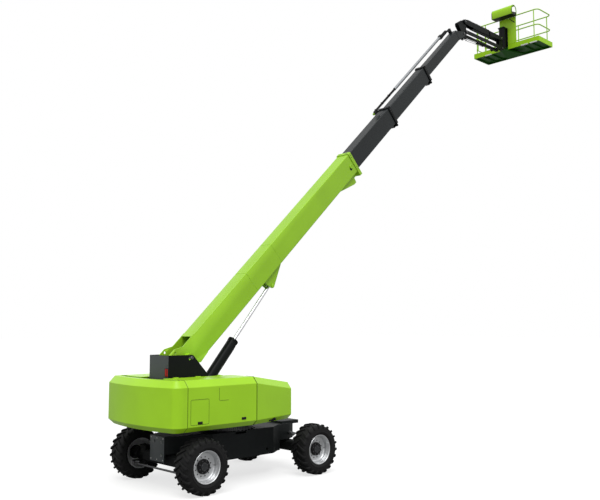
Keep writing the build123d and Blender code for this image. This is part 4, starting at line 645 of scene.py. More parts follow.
FASTENERS = Tree("fasteners", {"Size": "Float"})
size = FASTENERS.given("Size")
heads = FASTENERS.tree.nodes.new("GeometryNodeJoinGeometry")
for sides, radius, depth in ((6, 1.0, 1.3), (14, 1.45, 0.36)):
    inputs = {"Vertices": sides, "Radius": size * radius, "Depth": size * depth}
    head = FASTENERS.node("GeometryNodeMeshCylinder", None, inputs, "Mesh")
    FASTENERS.tree.links.new(head.socket, heads.inputs[0])
settings = {"data_type": "FLOAT_VECTOR"}
facing = FASTENERS.node("GeometryNodeInputNamedAttribute", settings, {"Name": "facing"}, "Attribute")
turn = FASTENERS.node("FunctionNodeAlignRotationToVector", {"axis": "Z"}, {"Vector": facing})
head = Value(FASTENERS, heads.outputs[0])
inputs = {"Points": FASTENERS.given("Geometry"), "Instance": head, "Rotation": turn}
FASTENERS.close(FASTENERS.node("GeometryNodeInstanceOnPoints", None, inputs))


def tubes(name, body, finish, runs, radius, bend=0.0, sides=16, place=CHASSIS, replaces=()):
    """Make round bars or hoses that follow runs of points."""
    points, edges = [], []
    for run in runs:
        edges += [(len(points) + i, len(points) + i + 1) for i in range(len(run) - 1)]
        points += [place @ Vector(point) for point in run]
    mesh = bpy.data.meshes.new(name)
    mesh.from_pydata(points, edges, [])
    mesh = grow(name, mesh, TUBE, finish, radius=radius, bend=bend, sides=sides)
    piece_on(name, mesh, body, finish, replaces)


def fasteners(name, body, size, rows, place=CHASSIS, finish="zinc"):
    """Set a hexagon head with its washer at each (point, facing) pair."""
    mesh = bpy.data.meshes.new(name)
    mesh.from_pydata([place @ Vector(point) for point, facing in rows], [], [])
    facings = mesh.attributes.new("facing", "FLOAT_VECTOR", "POINT")
    for entry, (point, facing) in zip(facings.data, rows):
        entry.vector = place.to_3x3() @ Vector(facing)
    piece_on(name, grow(name, mesh, FASTENERS, finish, size=size), body, finish)


def bolt_circle(centre, facing, radius, count, first=0.0):
    """Give the (point, facing) pairs of bolts round a circle that faces along Y or Z."""
    across = (0, 0, 1) if facing[1] else (0, 1, 0)
    rows = []
    for step in range(count):
        turn = first + math.tau * step / count
        spoke = math.cos(turn) * Vector((1, 0, 0)) + math.sin(turn) * Vector(across)
        rows.append((Vector(centre) + radius * spoke, facing))
    return rows


print("trees:", REPEAT.tree.name, TUBE.tree.name, FASTENERS.tree.name)

# %% [markdown]
# A tyre is a turned casing with a raised rib round each sidewall. Its lugs start at the middle of
# the tread, sweep back as they go out, and fold over the shoulder. One pair of lugs, left and right,
# is drawn once and repeated round the wheel.

# %% Tyres
CASING = (  # across the tyre, radius
    (0.1636, 0.2965), (0.1636, 0.318), (0.174, 0.326), (0.18, 0.33), (0.192, 0.352), (0.195, 0.366),
    (0.1985, 0.37), (0.1985, 0.378), (0.1965, 0.382), (0.197, 0.41), (0.195, 0.436), (0.186, 0.47),
    (0.172, 0.489), (0.15, 0.5), (0.08, 0.505),
)
LUG_PAIRS = 22
LUG_REACH = 0.535
LUG_STATIONS = (  # outside across and radius, inside across and radius, sweep back, half thickness
    (-0.008, 0.533, -0.008, 0.497, 0.0, 0.012),
    (0.06, 0.535, 0.06, 0.497, 0.041, 0.016),
    (0.12, 0.534, 0.12, 0.494, 0.078, 0.019),
    (0.172, 0.529, 0.158, 0.484, 0.106, 0.022),
    (0.196, 0.511, 0.17, 0.476, 0.118, 0.022),
    (0.2, 0.482, 0.176, 0.462, 0.124, 0.02),
    (0.198, 0.452, 0.184, 0.446, 0.128, 0.017),
)


def lug_pair():
    """Give a left and a right lug of a wheel that turns round Y at the origin."""
    lugs = Shape(Matrix())
    for side, start in ((1, 0.0), (-1, math.pi / LUG_PAIRS)):
        points = []
        for across, radius, low_across, low_radius, sweep, half in LUG_STATIONS:
            for y, reach, slide in (
                (across, radius, sweep - half), (across, radius, sweep + half),
                (low_across, low_radius, sweep + 1.25 * half), (low_across, low_radius, sweep - 1.25 * half),
            ):
                angle = start - slide / LUG_REACH
                points.append((reach * math.sin(angle), side * y, reach * math.cos(angle)))
        last = 4 * len(LUG_STATIONS) - 4
        faces = [(0, 1, 2, 3), (last, last + 1, last + 2, last + 3)]
        for near in range(0, last, 4):
            far = near + 4
            faces += [(near + i, near + (i + 1) % 4, far + (i + 1) % 4, far + i) for i in range(4)]
        lugs.solid(points, faces)
    return lugs.round_off(0.0035, 1).plain("lugs")


whole_casing = [*CASING, *[(-across, radius) for across, radius in reversed(CASING)]]
lug_turn = (0, math.tau / LUG_PAIRS, 0)
for corner, centre in WHEEL_CENTRES.items():
    tyre = Shape(Matrix.Translation(centre)).lathe((0, 0, 0), (0, 1, 0), whole_casing, 96, closed=True)
    lugs = grow("lugs", lug_pair(), REPEAT, "tyre_rubber", count=LUG_PAIRS, start=centre, turn=lug_turn)
    tyre.mesh.from_mesh(lugs)
    tyre.done("tyre_" + corner + "_tread", "wheel_" + corner, "tyre_rubber", ["tyre_" + corner])
print("tyres with", 2 * LUG_PAIRS, "lugs each")

# %% [markdown]
# The silver rim has a double lip, a drop centre and a flat disc set well back. The planetary drive
# comes through the disc as a dark drum with a lighter cap, ringed by the wheel nuts.

# %% Rims and drive hubs
RIM_OUTSIDE = (  # outward, radius
    (0.038, 0.13), (0.038, 0.225), (0.039, 0.245), (0.044, 0.258), (0.056, 0.268), (0.07, 0.271),
    (0.106, 0.274), (0.112, 0.279), (0.135, 0.282), (0.14, 0.286), (0.16, 0.288), (0.168, 0.292),
    (0.172, 0.3), (0.178, 0.304), (0.178, 0.309), (0.174, 0.313), (0.166, 0.313), (0.1636, 0.2962),
    (-0.1636, 0.2962), (-0.17, 0.313), (-0.178, 0.313), (-0.178, 0.304), (-0.16, 0.284), (0.02, 0.262),
    (0.02, 0.13),
)
DRUM = ((0.018, 0), (0.018, 0.142), (0.07, 0.142), (0.076, 0.138), (0.083, 0.129), (0.083, 0))
CAP = ((0.08, 0), (0.08, 0.08), (0.091, 0.08), (0.095, 0.075), (0.095, 0.03), (0.091, 0.027), (0.091, 0))
NUTS = 12
BOLT_CIRCLES = ((NUTS, 0.182, 0.04), (8, 0.112, 0.084), (6, 0.064, 0.0955))  # count, radius, outward

for corner, centre in WHEEL_CENTRES.items():
    out = 1 if centre.y > 0 else -1
    wheel = "wheel_" + corner
    place = Matrix.Translation(centre)
    rim = Shape(place).lathe((0, 0, 0), (0, out, 0), RIM_OUTSIDE, 96, closed=True)
    rim.done("rim_" + corner + "_pressing", wheel, "wheel_silver", ["rim_" + corner])
    Shape(place).lathe((0, 0, 0), (0, out, 0), DRUM, 64).done("drum_" + corner, wheel, "hub_black")
    Shape(place).lathe((0, 0, 0), (0, out, 0), CAP, 48).done("hub_cap_" + corner, wheel, "cap_grey")
    rows = []
    for count, radius, face in BOLT_CIRCLES:
        rows += bolt_circle((0, out * face, 0), (0, out, 0), radius, count, math.pi / count)
    fasteners("wheel_nuts_" + corner, wheel, 0.0095, rows, place, "dark_steel")
    valve = [[(0.245, out * 0.04, 0.0), (0.245, out * 0.062, 0.0), (0.252, out * 0.085, 0.0)]]
    tubes("valve_" + corner, wheel, "black_plastic", valve, 0.004, 0.01, 8, place)
print("rims with", NUTS, "nuts each")

# %% [markdown]
# Folded plate and moulded skins have no razor edges. Each node below is taken over with its own
# form and gets edges as round as the real part's: broad on the mouldings, narrow on cut plate. A
# second, smaller width does the thin rims that the first one passes by.

# %% Rounded edges
ROUNDING = {  # widths: how the names of the nodes begin
    (0.016, 0.0012): ("hood_door", "front_cowls"), (0.018, 0.004): ("counterweight",),
    (0.01, 0.002): ("boom_base", "jib_upper_arm", "jib_lower_arm"), (0.009, 0.0015): ("boom_section",),
    (0.022,): ("fluid_tanks",), (0.012,): ("engine_block",), (0.008,): ("axle",),
    (0.006,): ("chassis_frame",), (0.005,): ("pedestal",),
    (0.004,): ("turntable_deck", "knuckle", "platform_support"), (0.002,): ("jib_barrel",),
    (0.003,): ("rear_lamps", "level_bracket", "platform_mount", "lift_barrel"),
    (0.0015,): ("platform_floor",),
}
for node in frame["nodes"]:
    for widths, starts in ROUNDING.items():
        if node.startswith(starts):
            rounded(node, *widths)

# %% [markdown]
# The side hoods carry a small service door and a cut-out line beside it, drawn as narrow grooves
# filled with dark seal. The seams between the skins have the same seal, and each hood has two latches.

# %% Hood details
HOOD_SIDE = 1.2504
SERVICE_DOOR = (  # x, z, from the middle of its rear edge round to there
    (-1.84, 1.53), (-1.84, 1.8), (-1.415, 1.8), (-1.415, 1.33), (-1.84, 1.33), (-1.84, 1.529),
)
CUT_OUT = ((-1.17, 1.99), (-1.17, 1.748), (-0.94, 1.748))
SEAMS_X = {"rear": -1.912, "front": -0.208}
LATCHES_X = (-1.62, -0.55)
SEAM_OUTLINE = ((1.13, 1.1895), (1.2505, 1.29), (1.2505, 2.03), (1.13, 2.1604), (0.9, 2.1604))
NOSE_PLACE, NOSE_TURN = (0.4, -1.052, 1.246), math.radians(13.7)
NOSE_LAMP = ((0, 0), (0, 0.055), (0.016, 0.055), (0.02, 0.05), (0.02, 0.035), (0.012, 0.03), (0.012, 0))

for side, y in (("left", HOOD_SIDE), ("right", -HOOD_SIDE)):
    body = "hood_door_" + side
    runs = [[(x, y, z) for x, z in line] for line in (SERVICE_DOOR, CUT_OUT)]
    tubes("groove_seal_" + side, body, "seal_rubber", runs, 0.0028, 0.03, 8)
    latch = Shape()
    for x in LATCHES_X:
        latch.box((x - 0.055, y - 0.006, 1.335), (x + 0.055, y + 0.006, 1.385))
        latch.box((x - 0.04, y - 0.011, 1.345), (x + 0.03, y + 0.011, 1.375))
    latch.round_off(0.003).done("hood_latch_" + side, body, "black_plastic")

for name, x in SEAMS_X.items():
    seams = [[(x, side * y, z) for y, z in SEAM_OUTLINE] for side in (-1, 1)]
    tubes("seam_seal_" + name, "turntable", "seal_rubber", seams, 0.0035, 0.0, 6)

nose = Shape(CHASSIS @ Matrix.Translation(NOSE_PLACE) @ Matrix.Rotation(NOSE_TURN, 4, "Z"))
nose.lathe((0, 0, 0), (0, -1, -1), NOSE_LAMP).box((-0.12, -0.004, -0.03), (0.12, 0.018, 0.004))
nose.round_off(0.003).done("nose_lamp_holder", "turntable", "black_plastic")
print("hood sides done")

# %% [markdown]
# The pedestal is two thick plates tied by a rear plate, whose face gets a thin lighter grey sheet as
# painted light. Pin heads with their keeper plates show on its sides, and a red lamp in a frame stands at its
# right rear corner.

# %% Pedestal details
PEDESTAL_PINS = ((-1.17, 2.54, 0.034), (-0.86, 1.64, 0.048))  # x, z, radius
PEDESTAL_SIDE, PEDESTAL_REAR = 0.34, -1.738
COVER_BOLTS_Z = (1.45, 1.75, 2.05, 2.4, 2.55)
LAMP_BARS_Y = ((-0.347, -0.3405), (-0.2975, -0.2865), (-0.2435, -0.237))
LAMP_BARS_Z = ((2.18, 2.189), (2.341, 2.35))

pins, rows = Shape(), []
for side in (-1, 1):
    for x, z, radius in PEDESTAL_PINS:
        near, far, bolt = (side * (PEDESTAL_SIDE + step) for step in (-0.01, 0.012, 0.011))
        pins.rod((x, near, z), (x, far, z), radius, 0.004, 32)
        rows.append(((x - 0.066, bolt, z), (0, side, 0)))
for x, z, radius in PEDESTAL_PINS:
    pins.twins((x - 0.09, PEDESTAL_SIDE, z - 0.022), (x - 0.01, PEDESTAL_SIDE + 0.008, z + 0.022))
pins.done("pedestal_pins", "turntable", "dark_steel")
rows += [((PEDESTAL_REAR - 0.003, y, z), (-1, 0, 0)) for y in (-0.29, 0.29) for z in COVER_BOLTS_Z]
fasteners("pedestal_bolts", "turntable", 0.009, rows, finish="dark_steel")
# A thin lighter grey sheet on the pedestal's rear face is painted light against its black sides
cover = Shape().box((PEDESTAL_REAR - 0.0032, -0.337, 1.415), (PEDESTAL_REAR + 0.0005, 0.337, 2.594))
cover.round_off(0.0015, 1).done("pedestal_rear_painted_light", "turntable", "plate_grey_and_painted_light")
marker = Shape()
for side in (-1, 1):
    marker.rod((-1.236, side * 0.338, 2.512), (-1.236, side * 0.352, 2.512), 0.018, 0.004)
marker.done("pedestal_markers", "turntable", "boom_paint")
lamp_frame = Shape()
for low, high in LAMP_BARS_Y:
    lamp_frame.box((-1.759, low, 2.18), (-1.736, high, 2.35))
for low, high in LAMP_BARS_Z:
    lamp_frame.box((-1.759, -0.347, low), (-1.736, -0.237, high))
lamp_frame.round_off(0.002).done("lamp_frames", "turntable", "black_plastic")
print("pedestal done")

# %% [markdown]
# Each tube of the boom ends in a collar that holds the wear pads of the next one. The two dark
# collars are black, with the pads' edges and adjusting screws in view, and a roller's axle shows
# at each sheave box. The base's collar is green, and a round boss stands beside it.

# %% Boom collars, pads and rollers
COLLARS = (  # body, half width, low and high face, end, finish
    ("boom", 0.19, -0.28, 0.25, 7.05, "boom_paint"),
    ("section_2", 0.166, -0.256, 0.226, 9.29, "black_paint"),
    ("section_3", 0.144, -0.234, 0.203, 11.54, "black_paint"),
)
COLLAR_LENGTH, WRAP = 0.092, 0.0225
ROLLER_BACK, ROLLER_DOWN, ROLLER_RADIUS = 0.035, 0.075, 0.036
PAD_HALF, PAD_FROM_EDGE = 0.035, 0.09
SCREWS_BACK, SCREW_SHIFTS = 0.045, (-0.03, 0.03)
BOSS = ((0, 0), (0, 0.052), (0.016, 0.052), (0.021, 0.047), (0.021, 0.03), (0.012, 0.026), (0.012, 0))
PLUG = ((0, 0), (0, 0.046), (0.0022, 0.046), (0.0022, 0))

for body, half, low, high, end, finish in COLLARS:
    wide = half + WRAP
    if finish == "black_paint":
        back, front = end - COLLAR_LENGTH, end + 0.0015
        wrap = Shape(BOOM).box((back, -wide, high + 0.001), (front, wide, high + WRAP))
        wrap.box((back, -wide, low - WRAP), (front, wide, low - 0.001))
        wrap.twins((back, half + 0.001, low - WRAP), (front, wide, high + WRAP))
        wrap.round_off(0.003).done("collar_" + body, body, finish)
        along, z = end - ROLLER_BACK, low - ROLLER_DOWN
        rollers = Shape(BOOM)
        for side in (-1, 1):
            rollers.rod((along, side * 0.05, z), (along, side * (half - 0.012), z), ROLLER_RADIUS, 0.005, 32)
        rollers.done("roller_" + body, body, "black_paint")
    pads, rows, along = Shape(BOOM), [], end - SCREWS_BACK
    back, front = end + 0.001, end + 0.004
    for y in (-0.55 * half, 0.55 * half):
        for bottom, top in ((high + 0.002, high + 0.017), (low - 0.017, low - 0.002)):
            pads.box((back, y - PAD_HALF, bottom), (front, y + PAD_HALF, top))
        rows += [((along, y + shift, high + WRAP), (0, 0, 1)) for shift in SCREW_SHIFTS]
    for z in (low + PAD_FROM_EDGE, high - PAD_FROM_EDGE):
        pads.twins((back, half + 0.002, z - PAD_HALF), (front, half + 0.017, z + PAD_HALF))
        for side in (-1, 1):
            rows += [((along, side * wide, z + shift), (0, side, 0)) for shift in SCREW_SHIFTS]
    pads.round_off(0.001, 1).done("pads_" + body, body, "wear_pad")
    fasteners("pad_screws_" + body, body, 0.0075, rows, BOOM, "dark_steel")

bosses, plugs = Shape(BOOM), Shape(BOOM)
for side in (-1, 1):
    bosses.lathe((6.84, side * 0.188, -0.04), (0, side, 0), BOSS, 40)
    plugs.lathe((6.8, side * 0.189, -0.08), (0, side, 0), PLUG)
bosses.done("boom_bosses", "boom", "boom_paint")
plugs.done("boom_plugs", "boom", "seal_rubber")

# %% [markdown]
# Weld beads run where plates meet: round the base tube behind its collar, along its reinforcing
# plates' joints, and round the lugs that the lift cylinder pushes on.

# %% Welds
WELDS_ALONG = (6.957, 2.35, 3.35)
LUG_WELDS_Y = (0.079, 0.105)
runs = []
for side in (-1, 1):
    for along in WELDS_ALONG:
        runs.append([(along, side * 0.19, z) for z in (-0.262, 0.232, 0.2325)])
    for y in LUG_WELDS_Y:
        runs.append([(2.55, side * y, -0.281), (3.05, side * y, -0.281)])
runs += [[(along, -0.172, 0.25), (along, 0.172, 0.25)] for along in WELDS_ALONG]
tubes("boom_welds", "boom", "boom_paint", runs, 0.0035, 0.0, 8, BOOM)
print("boom details done")

# %% [markdown]
# A galvanised pipe on the last tube carries the platform's hoses. They leave its lower end as a
# black bundle, turn back under themselves in a tight loop, and are held there by a clip, so the
# bundle clears the collars below it when the boom is drawn in.

# %% Hose pipe
PIPE_Y, PIPE_Z = 0.06, 0.352
PIPE = ((10.1, 0.035), (10.1, 0.04), (13.22, 0.04), (13.22, 0.035))
PIPE_BAND = ((0, 0.039), (0.001, 0.0425), (0.028, 0.0425), (0.029, 0.039))
BUNDLE = ((0.0, 0.018), (0.017, -0.012), (-0.017, -0.012))
CLAMP = (  # low and high along, low and high z, of the clamp's plates on both sides of the bundle
    (13.2, 13.78, 0.285, 0.315), (13.67, 13.78, 0.1775, 0.3),
)

pipe = Shape(BOOM).lathe((0, PIPE_Y, PIPE_Z), (1, 0, 0), PIPE, 40, closed=True)
for along in (10.105, 11.6, 13.04):
    pipe.lathe((along, PIPE_Y, PIPE_Z), (1, 0, 0), PIPE_BAND, 40, closed=True)
pipe.done("conduit", "section_4", "galvanised", ["hose_pipe"])
runs = []
for y, z in BUNDLE:
    side, top, back = PIPE_Y + y, PIPE_Z + z, 8.865 + 0.35 * z
    runs.append([(10.16, side, top), (back, side, top), (back, side, 0.2905), (9.02, side, 0.2905)])
    inner = PIPE_Y + 0.9 * y
    dip, end = (13.68, inner, 0.262 + 0.5 * z), (13.785, inner, 0.19 + 0.5 * z)
    runs.append([(13.19, side, top), (13.5, side, top), dip, end])
tubes("hose_bundle", "section_4", "hose_rubber", runs, 0.015, 0.031, 12, BOOM)
clips = Shape(BOOM).box((8.985, PIPE_Y - 0.034, 0.2752), (9.025, PIPE_Y + 0.034, 0.388))
for along in (9.35, 9.75):
    clips.box((along, PIPE_Y - 0.033, PIPE_Z - 0.028), (along + 0.02, PIPE_Y + 0.033, PIPE_Z + 0.036))
clips.round_off(0.004).done("hose_clips", "section_4", "black_plastic")
clamp = Shape(BOOM).box((13.095, PIPE_Y - 0.048, 0.285), (13.225, PIPE_Y + 0.048, 0.4))
for y in (PIPE_Y - 0.03, PIPE_Y + 0.018):
    for back, front, low, high in CLAMP:
        clamp.box((back, y, low), (front, y + 0.012, high))
clamp.box((13.7, PIPE_Y - 0.03, 0.1775), (13.78, PIPE_Y + 0.03, 0.188))
clamp.round_off(0.004).done("pipe_clamp", "section_4", "black_paint")
tag = Shape(BOOM).box((8.826, PIPE_Y - 0.026, 0.3), (8.846, PIPE_Y + 0.026, 0.352))
tag.round_off(0.005).done("hose_tag", "section_4", "platform_paint")
print("hose pipe done")

# %% [markdown]
# Both cylinders get a gland nut at the barrel's mouth, an oil port at each end and a rigid pipe
# between them. A cylinder's frame starts at its foot and leans towards its eye.

# %% Cylinders
LIFT_FOOT, LIFT_EYE = Vector((-0.86, 0, 1.64)), (2.8, 0, -0.5)  # on the chassis, and along the boom
JIB_FOOT, JIB_EYE = Vector((9.3, 0, 12.12)), Vector((11.04, 0, 12.21))
CYLINDERS = (  # name, foot, eye, radius, length, pipe's radius
    ("lift_barrel", LIFT_FOOT, CHASSIS.inverted() @ BOOM @ Vector(LIFT_EYE), 0.112, 1.61, 0.01),
    ("jib_barrel", JIB_FOOT, JIB_EYE, 0.042, 1.06, 0.006),
)
for name, foot, eye, radius, length, pipe_radius in CYLINDERS:
    lean = eye - foot
    place = turned_frame(foot.x, foot.z, math.degrees(math.atan2(lean.z, lean.x)))
    lip, waist = radius * 1.06, radius * 1.01
    gland = Shape(place).lathe((length, 0, 0), (1, 0, 0), [
        (-0.5 * radius, radius * 0.98), (-0.46 * radius, lip), (-0.04, lip), (-0.036, waist),
        (-0.026, waist), (-0.022, lip), (-0.002, lip * 0.985), (-0.002, radius * 0.5),
    ], 48, closed=True)
    gland.done(name + "_gland", name, "black_paint")
    first, last = 2.2 * radius, length - 0.9 * radius
    ports = Shape(place)
    for along in (first, last):
        ports.box((along - 0.022, -0.016, -radius - 0.02), (along + 0.022, 0.016, -radius * 0.96))
    ports.round_off(0.003).done(name + "_ports", name, "dark_steel")
    near, away = -radius - 0.012, -radius - 0.012 - pipe_radius
    line = [(first, 0, near), (first + 0.06, 0, away), (last - 0.06, 0, away), (last, 0, near)]
    tubes(name + "_oil_pipe", name, "dark_steel", [line], pipe_radius, 0.02, 10, place)
print("cylinders done")

# %% [markdown]
# The jib's arms turn on pins whose heads show on both sides. Hoses run along the upper arm, held by
# clips. The rotator is a drum between two flanges, with bolts round both.

# %% Jib and rotator
JIB_PINS = {  # body: x, z, half width to the pin's head, radius
    "level_bracket": (
        (9.24, 12.62, 0.1025, 0.03), (9.26, 12.28, 0.1305, 0.03), (9.12, 12.18, 0.1305, 0.034),
    ),
    "platform_support": ((11.3, 12.62, 0.1025, 0.03), (11.32, 12.28, 0.1305, 0.03)),
}
for body, pins in JIB_PINS.items():
    heads, rows = Shape(), []
    for x, z, half, radius in pins:
        for side in (-1, 1):
            heads.rod((x, side * half, z), (x, side * (half + 0.012), z), radius, 0.004, 32)
            rows.append(((x + 0.05, side * (half + 0.008), z), (0, side, 0)))
        heads.twins((x + 0.01, half + 0.001, z - 0.014), (x + 0.062, half + 0.007, z + 0.014))
    heads.done("pin_heads_" + body, body, "dark_steel")
    fasteners("keeper_bolts_" + body, body, 0.006, rows, finish="dark_steel")
HOSES_Y = (-0.045, -0.015, 0.015, 0.045)
runs = [[(9.4, y, 12.728), (9.46, y, 12.7355), (10.6, y, 12.7355), (10.66, y, 12.728)] for y in HOSES_Y]
tubes("jib_hoses", "jib_upper", "hose_rubber", runs, 0.011, 0.03, 10)
ties = Shape()
for x in (9.55, 9.95, 10.45):
    ties.box((x, -0.062, 12.719), (x + 0.022, 0.062, 12.7495))
ties.round_off(0.003).done("jib_hose_ties", "jib_upper", "black_plastic")

ROTATOR_X, ROTATOR_LOW, ROTATOR_HIGH = 11.53, 12.33, 13.04
FLANGE = ((0.001, 0.098), (0.001, 0.118), (0.022, 0.118), (0.028, 0.107))  # from the drum's end, radius
DRUM_BAND = ((0.3, 0.107), (0.305, 0.111), (0.395, 0.111), (0.4, 0.107))
drum = [(ROTATOR_LOW + up, radius) for up, radius in (*FLANGE, *DRUM_BAND)]
drum += [(ROTATOR_HIGH - down, radius) for down, radius in reversed(FLANGE)]
bands = Shape().lathe((ROTATOR_X, 0, 0), (0, 0, 1), drum, 64, closed=True)
bands.done("rotator_bands", "platform_support", "black_paint")
rows = bolt_circle((ROTATOR_X, 0, ROTATOR_LOW + 0.0225), (0, 0, 1), 0.112, 12)
rows += bolt_circle((ROTATOR_X, 0, ROTATOR_HIGH - 0.0225), (0, 0, -1), 0.112, 12)
fasteners("rotator_bolts", "platform_support", 0.0045, rows, finish="dark_steel")
marker = Shape().rod((ROTATOR_X - 0.1, -0.045, 12.7), (ROTATOR_X - 0.128, -0.058, 12.7), 0.016, 0.004)
marker.done("rotator_marker", "platform_support", "platform_paint")
print("jib done")

# %% [markdown]
# The platform's guard is bent tube on posts that stand in sockets. One run of points draws a rail,
# and the tube's tree rounds its corners.

# %% Guard rails
REAR_X, FRONT_X, HALF_Y, BOTTOM_Z = 11.706, 12.604, 1.22, 12.356
FLOOR_Z = BOTTOM_Z + 0.056
RAIL_IN = 0.0233
TOP_RAIL_Z, MID_RAIL_Z = 13.44, 12.93
RAIL_BEND = 0.13
GATE_POST_IN = 0.15
SOCKET = ((0, 0.0155), (0, 0.0215), (0.07, 0.0215), (0.074, 0.0155))

rear_x, front_x, rail_y = REAR_X + RAIL_IN, FRONT_X - RAIL_IN, HALF_Y - RAIL_IN
gate_posts = [(rear_x + GATE_POST_IN, rail_y), (front_x - GATE_POST_IN, rail_y)]
bends = [(rear_x, rail_y), (rear_x, -rail_y), (front_x, -rail_y), (front_x, rail_y)]
guard = [gate_posts[0], *bends, gate_posts[1]]
runs = [[(x, y, z) for x, y in guard] for z in (TOP_RAIL_Z, MID_RAIL_Z)]
tubes("guard_rails", "platform", "platform_paint", runs, 0.019, RAIL_BEND, 20, replaces=["platform_rails"])
corner_y = -rail_y + RAIL_BEND + 0.016
posts, feet = Shape(), Shape()
for x, y in ((rear_x, corner_y), (front_x, corner_y), (front_x, 0.0), (rear_x, 0.76), *gate_posts):
    posts.rod((x, y, FLOOR_Z), (x, y, TOP_RAIL_Z), 0.016, 0.001, 20)
    feet.lathe((x, y, FLOOR_Z), (0, 0, 1), SOCKET, 20, closed=True)
posts.done("guard_posts", "platform", "platform_paint")
feet.done("post_sockets", "platform", "platform_paint")

# %% [markdown]
# A tread sheet with raised studs covers the floor. The studs are the most repeated shape here, so
# one has only five faces. Below, the floor and the cross beams that carry it are painted dark as
# shade, and pale wear plates run along its rear edge.

# %% Platform's floor
SHEET_IN, SHEET_TOP_Z = 0.098, FLOOR_Z + 0.0066
STUD = (0.014, 0.006, 0.008, 0.002)  # half length, half width, half length of its ridge, height
STUDS_ACROSS, STUDS_ALONG = (16, 0.0405), (54, 0.0398)  # count, spacing
WEAR_PLATES_Y = (-0.7, -1.02, 0.66)
BEAMS_Y = (0.6, 0.9)

tip, half, ridge, top = STUD
stud = Shape(Matrix()).solid(
    [(-tip, 0, 0), (0, -half, 0), (tip, 0, 0), (0, half, 0), (-ridge, 0, top), (ridge, 0, top)],
    [(0, 1, 5, 4), (1, 2, 5), (2, 3, 4, 5), (3, 0, 4), (3, 2, 1, 0)],
)
start = CHASSIS @ Vector((REAR_X + 0.145, -1.0547, SHEET_TOP_Z - 0.0002))
count, gap = STUDS_ACROSS
row = grow("row", stud.plain("stud"), REPEAT, "tread_sheet", count=count, step=(gap, 0, 0))
count, gap = STUDS_ALONG
studs = grow("studs", row, REPEAT, "tread_sheet", count=count, start=start, step=(0, gap, 0))
low = (REAR_X + SHEET_IN, -HALF_Y + SHEET_IN, FLOOR_Z + 0.0005)
tread = Shape().box(low, (FRONT_X - SHEET_IN, HALF_Y - SHEET_IN, SHEET_TOP_Z))
tread.mesh.from_mesh(studs)
tread.done("tread_sheet", "platform", "tread_sheet")

plates = Shape()
for y in WEAR_PLATES_Y:
    plates.box((REAR_X - 0.003, y - 0.125, BOTTOM_Z - 0.0025), (REAR_X + 0.052, y + 0.125, BOTTOM_Z + 0.022))
plates.round_off(0.001, 1).done("wear_plates", "platform", "pale_plate")
beams = Shape()
for y in BEAMS_Y:
    beams.twins((REAR_X + 0.052, y - 0.02, BOTTOM_Z + 0.012), (FRONT_X - 0.052, y + 0.02, BOTTOM_Z + 0.0495))
# The beams get the darker green painted as shade
beams.done("floor_beams", "platform", "underside_painted_shade")
mount = Shape().box((11.44, -0.1065, 13.0405), (11.7065, 0.1065, 13.073))
mount.box((11.674, -0.1065, 12.42), (11.7065, 0.1065, 13.073))
mount.round_off(0.003).done("mount_upright", "platform", "black_paint")
low = (front_x - 0.2, rail_y + 0.002, MID_RAIL_Z - 0.03)
latch = Shape().box(low, (front_x - 0.165, rail_y + 0.0225, MID_RAIL_Z + 0.03))
latch.round_off(0.003).done("gate_latch", "gate", "black_plastic")
print("platform done")

# %% [markdown]
# The console is a control box under a bent cover, which is open at both ends like a hoop. Light
# shows through above the box. A green panel closes the gap between the console and the toe board.

# %% Console's cover
CONSOLE_Y = (-0.45, 0.32)
COVER = (  # x, z along the cover, from its lower rear edge over the top to the front
    (11.43, 13.404), (11.412, 13.44), (11.412, 13.6), (11.422, 13.655), (11.447, 13.698),
    (11.485, 13.726), (11.53, 13.738), (11.58, 13.736), (11.628, 13.718), (11.668, 13.684),
    (11.694, 13.64), (11.706, 13.585), (11.708, 13.404),
)
COVER_OPEN_FROM = 9  # the front of the cover is left open after this point, except at the hoops
COVER_MIDDLE = Vector((11.56, 13.55))
COVER_PLATE, HOOP_DEPTH, HOOP_WIDTH = 0.006, 0.016, 0.024


def bent_sheet(shape, line, thickness, low_y, high_y):
    """Bend a strip of plate along a line of (x, z) places, its thickness to the inside."""
    count, around = len(line), 2 * len(line)
    inside = [Vector(place) + (COVER_MIDDLE - Vector(place)).normalized() * thickness for place in line]
    places = [*line, *[tuple(place) for place in reversed(inside)]]
    points = [(x, y, z) for y in (low_y, high_y) for x, z in places]
    faces = [(i, (i + 1) % around, (i + 1) % around + around, i + around) for i in range(around)]
    for near in (0, around):
        far = near + around - 1
        faces += [(near + i, near + i + 1, far - i - 1, far - i) for i in range(count - 1)]
    shape.solid(points, faces)


cover = Shape()
bent_sheet(cover, COVER[:COVER_OPEN_FROM], COVER_PLATE, *CONSOLE_Y)
for y in (CONSOLE_Y[0], CONSOLE_Y[1] - HOOP_WIDTH):
    bent_sheet(cover, COVER, HOOP_DEPTH, y, y + HOOP_WIDTH)
cover.box((11.704, -0.42, BOTTOM_Z + 0.165), (11.7095, 0.2, 13.405))
cover.round_off(0.0015, 1).done("console_cover", "platform", "platform_paint", ["control_console"])

# %% [markdown]
# The control box slopes towards the operator. Its levers, buttons and emergency stop are turned
# shapes that stand square on that slope, gathered by their finish.

# %% Control box
BOX_OUTLINE = ((11.424, 13.4005), (11.42, 13.46), (11.44, 13.49), (11.69, 13.53), (11.7, 13.4005))
CONTROL_SLOPE = 0.16
CONTROL_X, CONTROL_Z = 11.6, 13.5156
LEVERS_Y = (-0.33, 0.17)
LEVER_KNOB = ((-0.014, 0), (-0.01, 0.011), (0.002, 0.017), (0.014, 0.013), (0.02, 0))
CONTROLS = [  # finish, y, radius, height
    ("yellow_plastic", -0.07, 0.026, 0.006), ("red_button", -0.07, 0.019, 0.024),
    *[("grey_plastic", y, 0.009, 0.018) for y in (-0.2, -0.15, 0.02, 0.07)],
    *[("grey_plastic", y, 0.03, 0.006) for y in LEVERS_Y],
    *[("black_plastic", y, 0.009, 0.055) for y in LEVERS_Y],
]

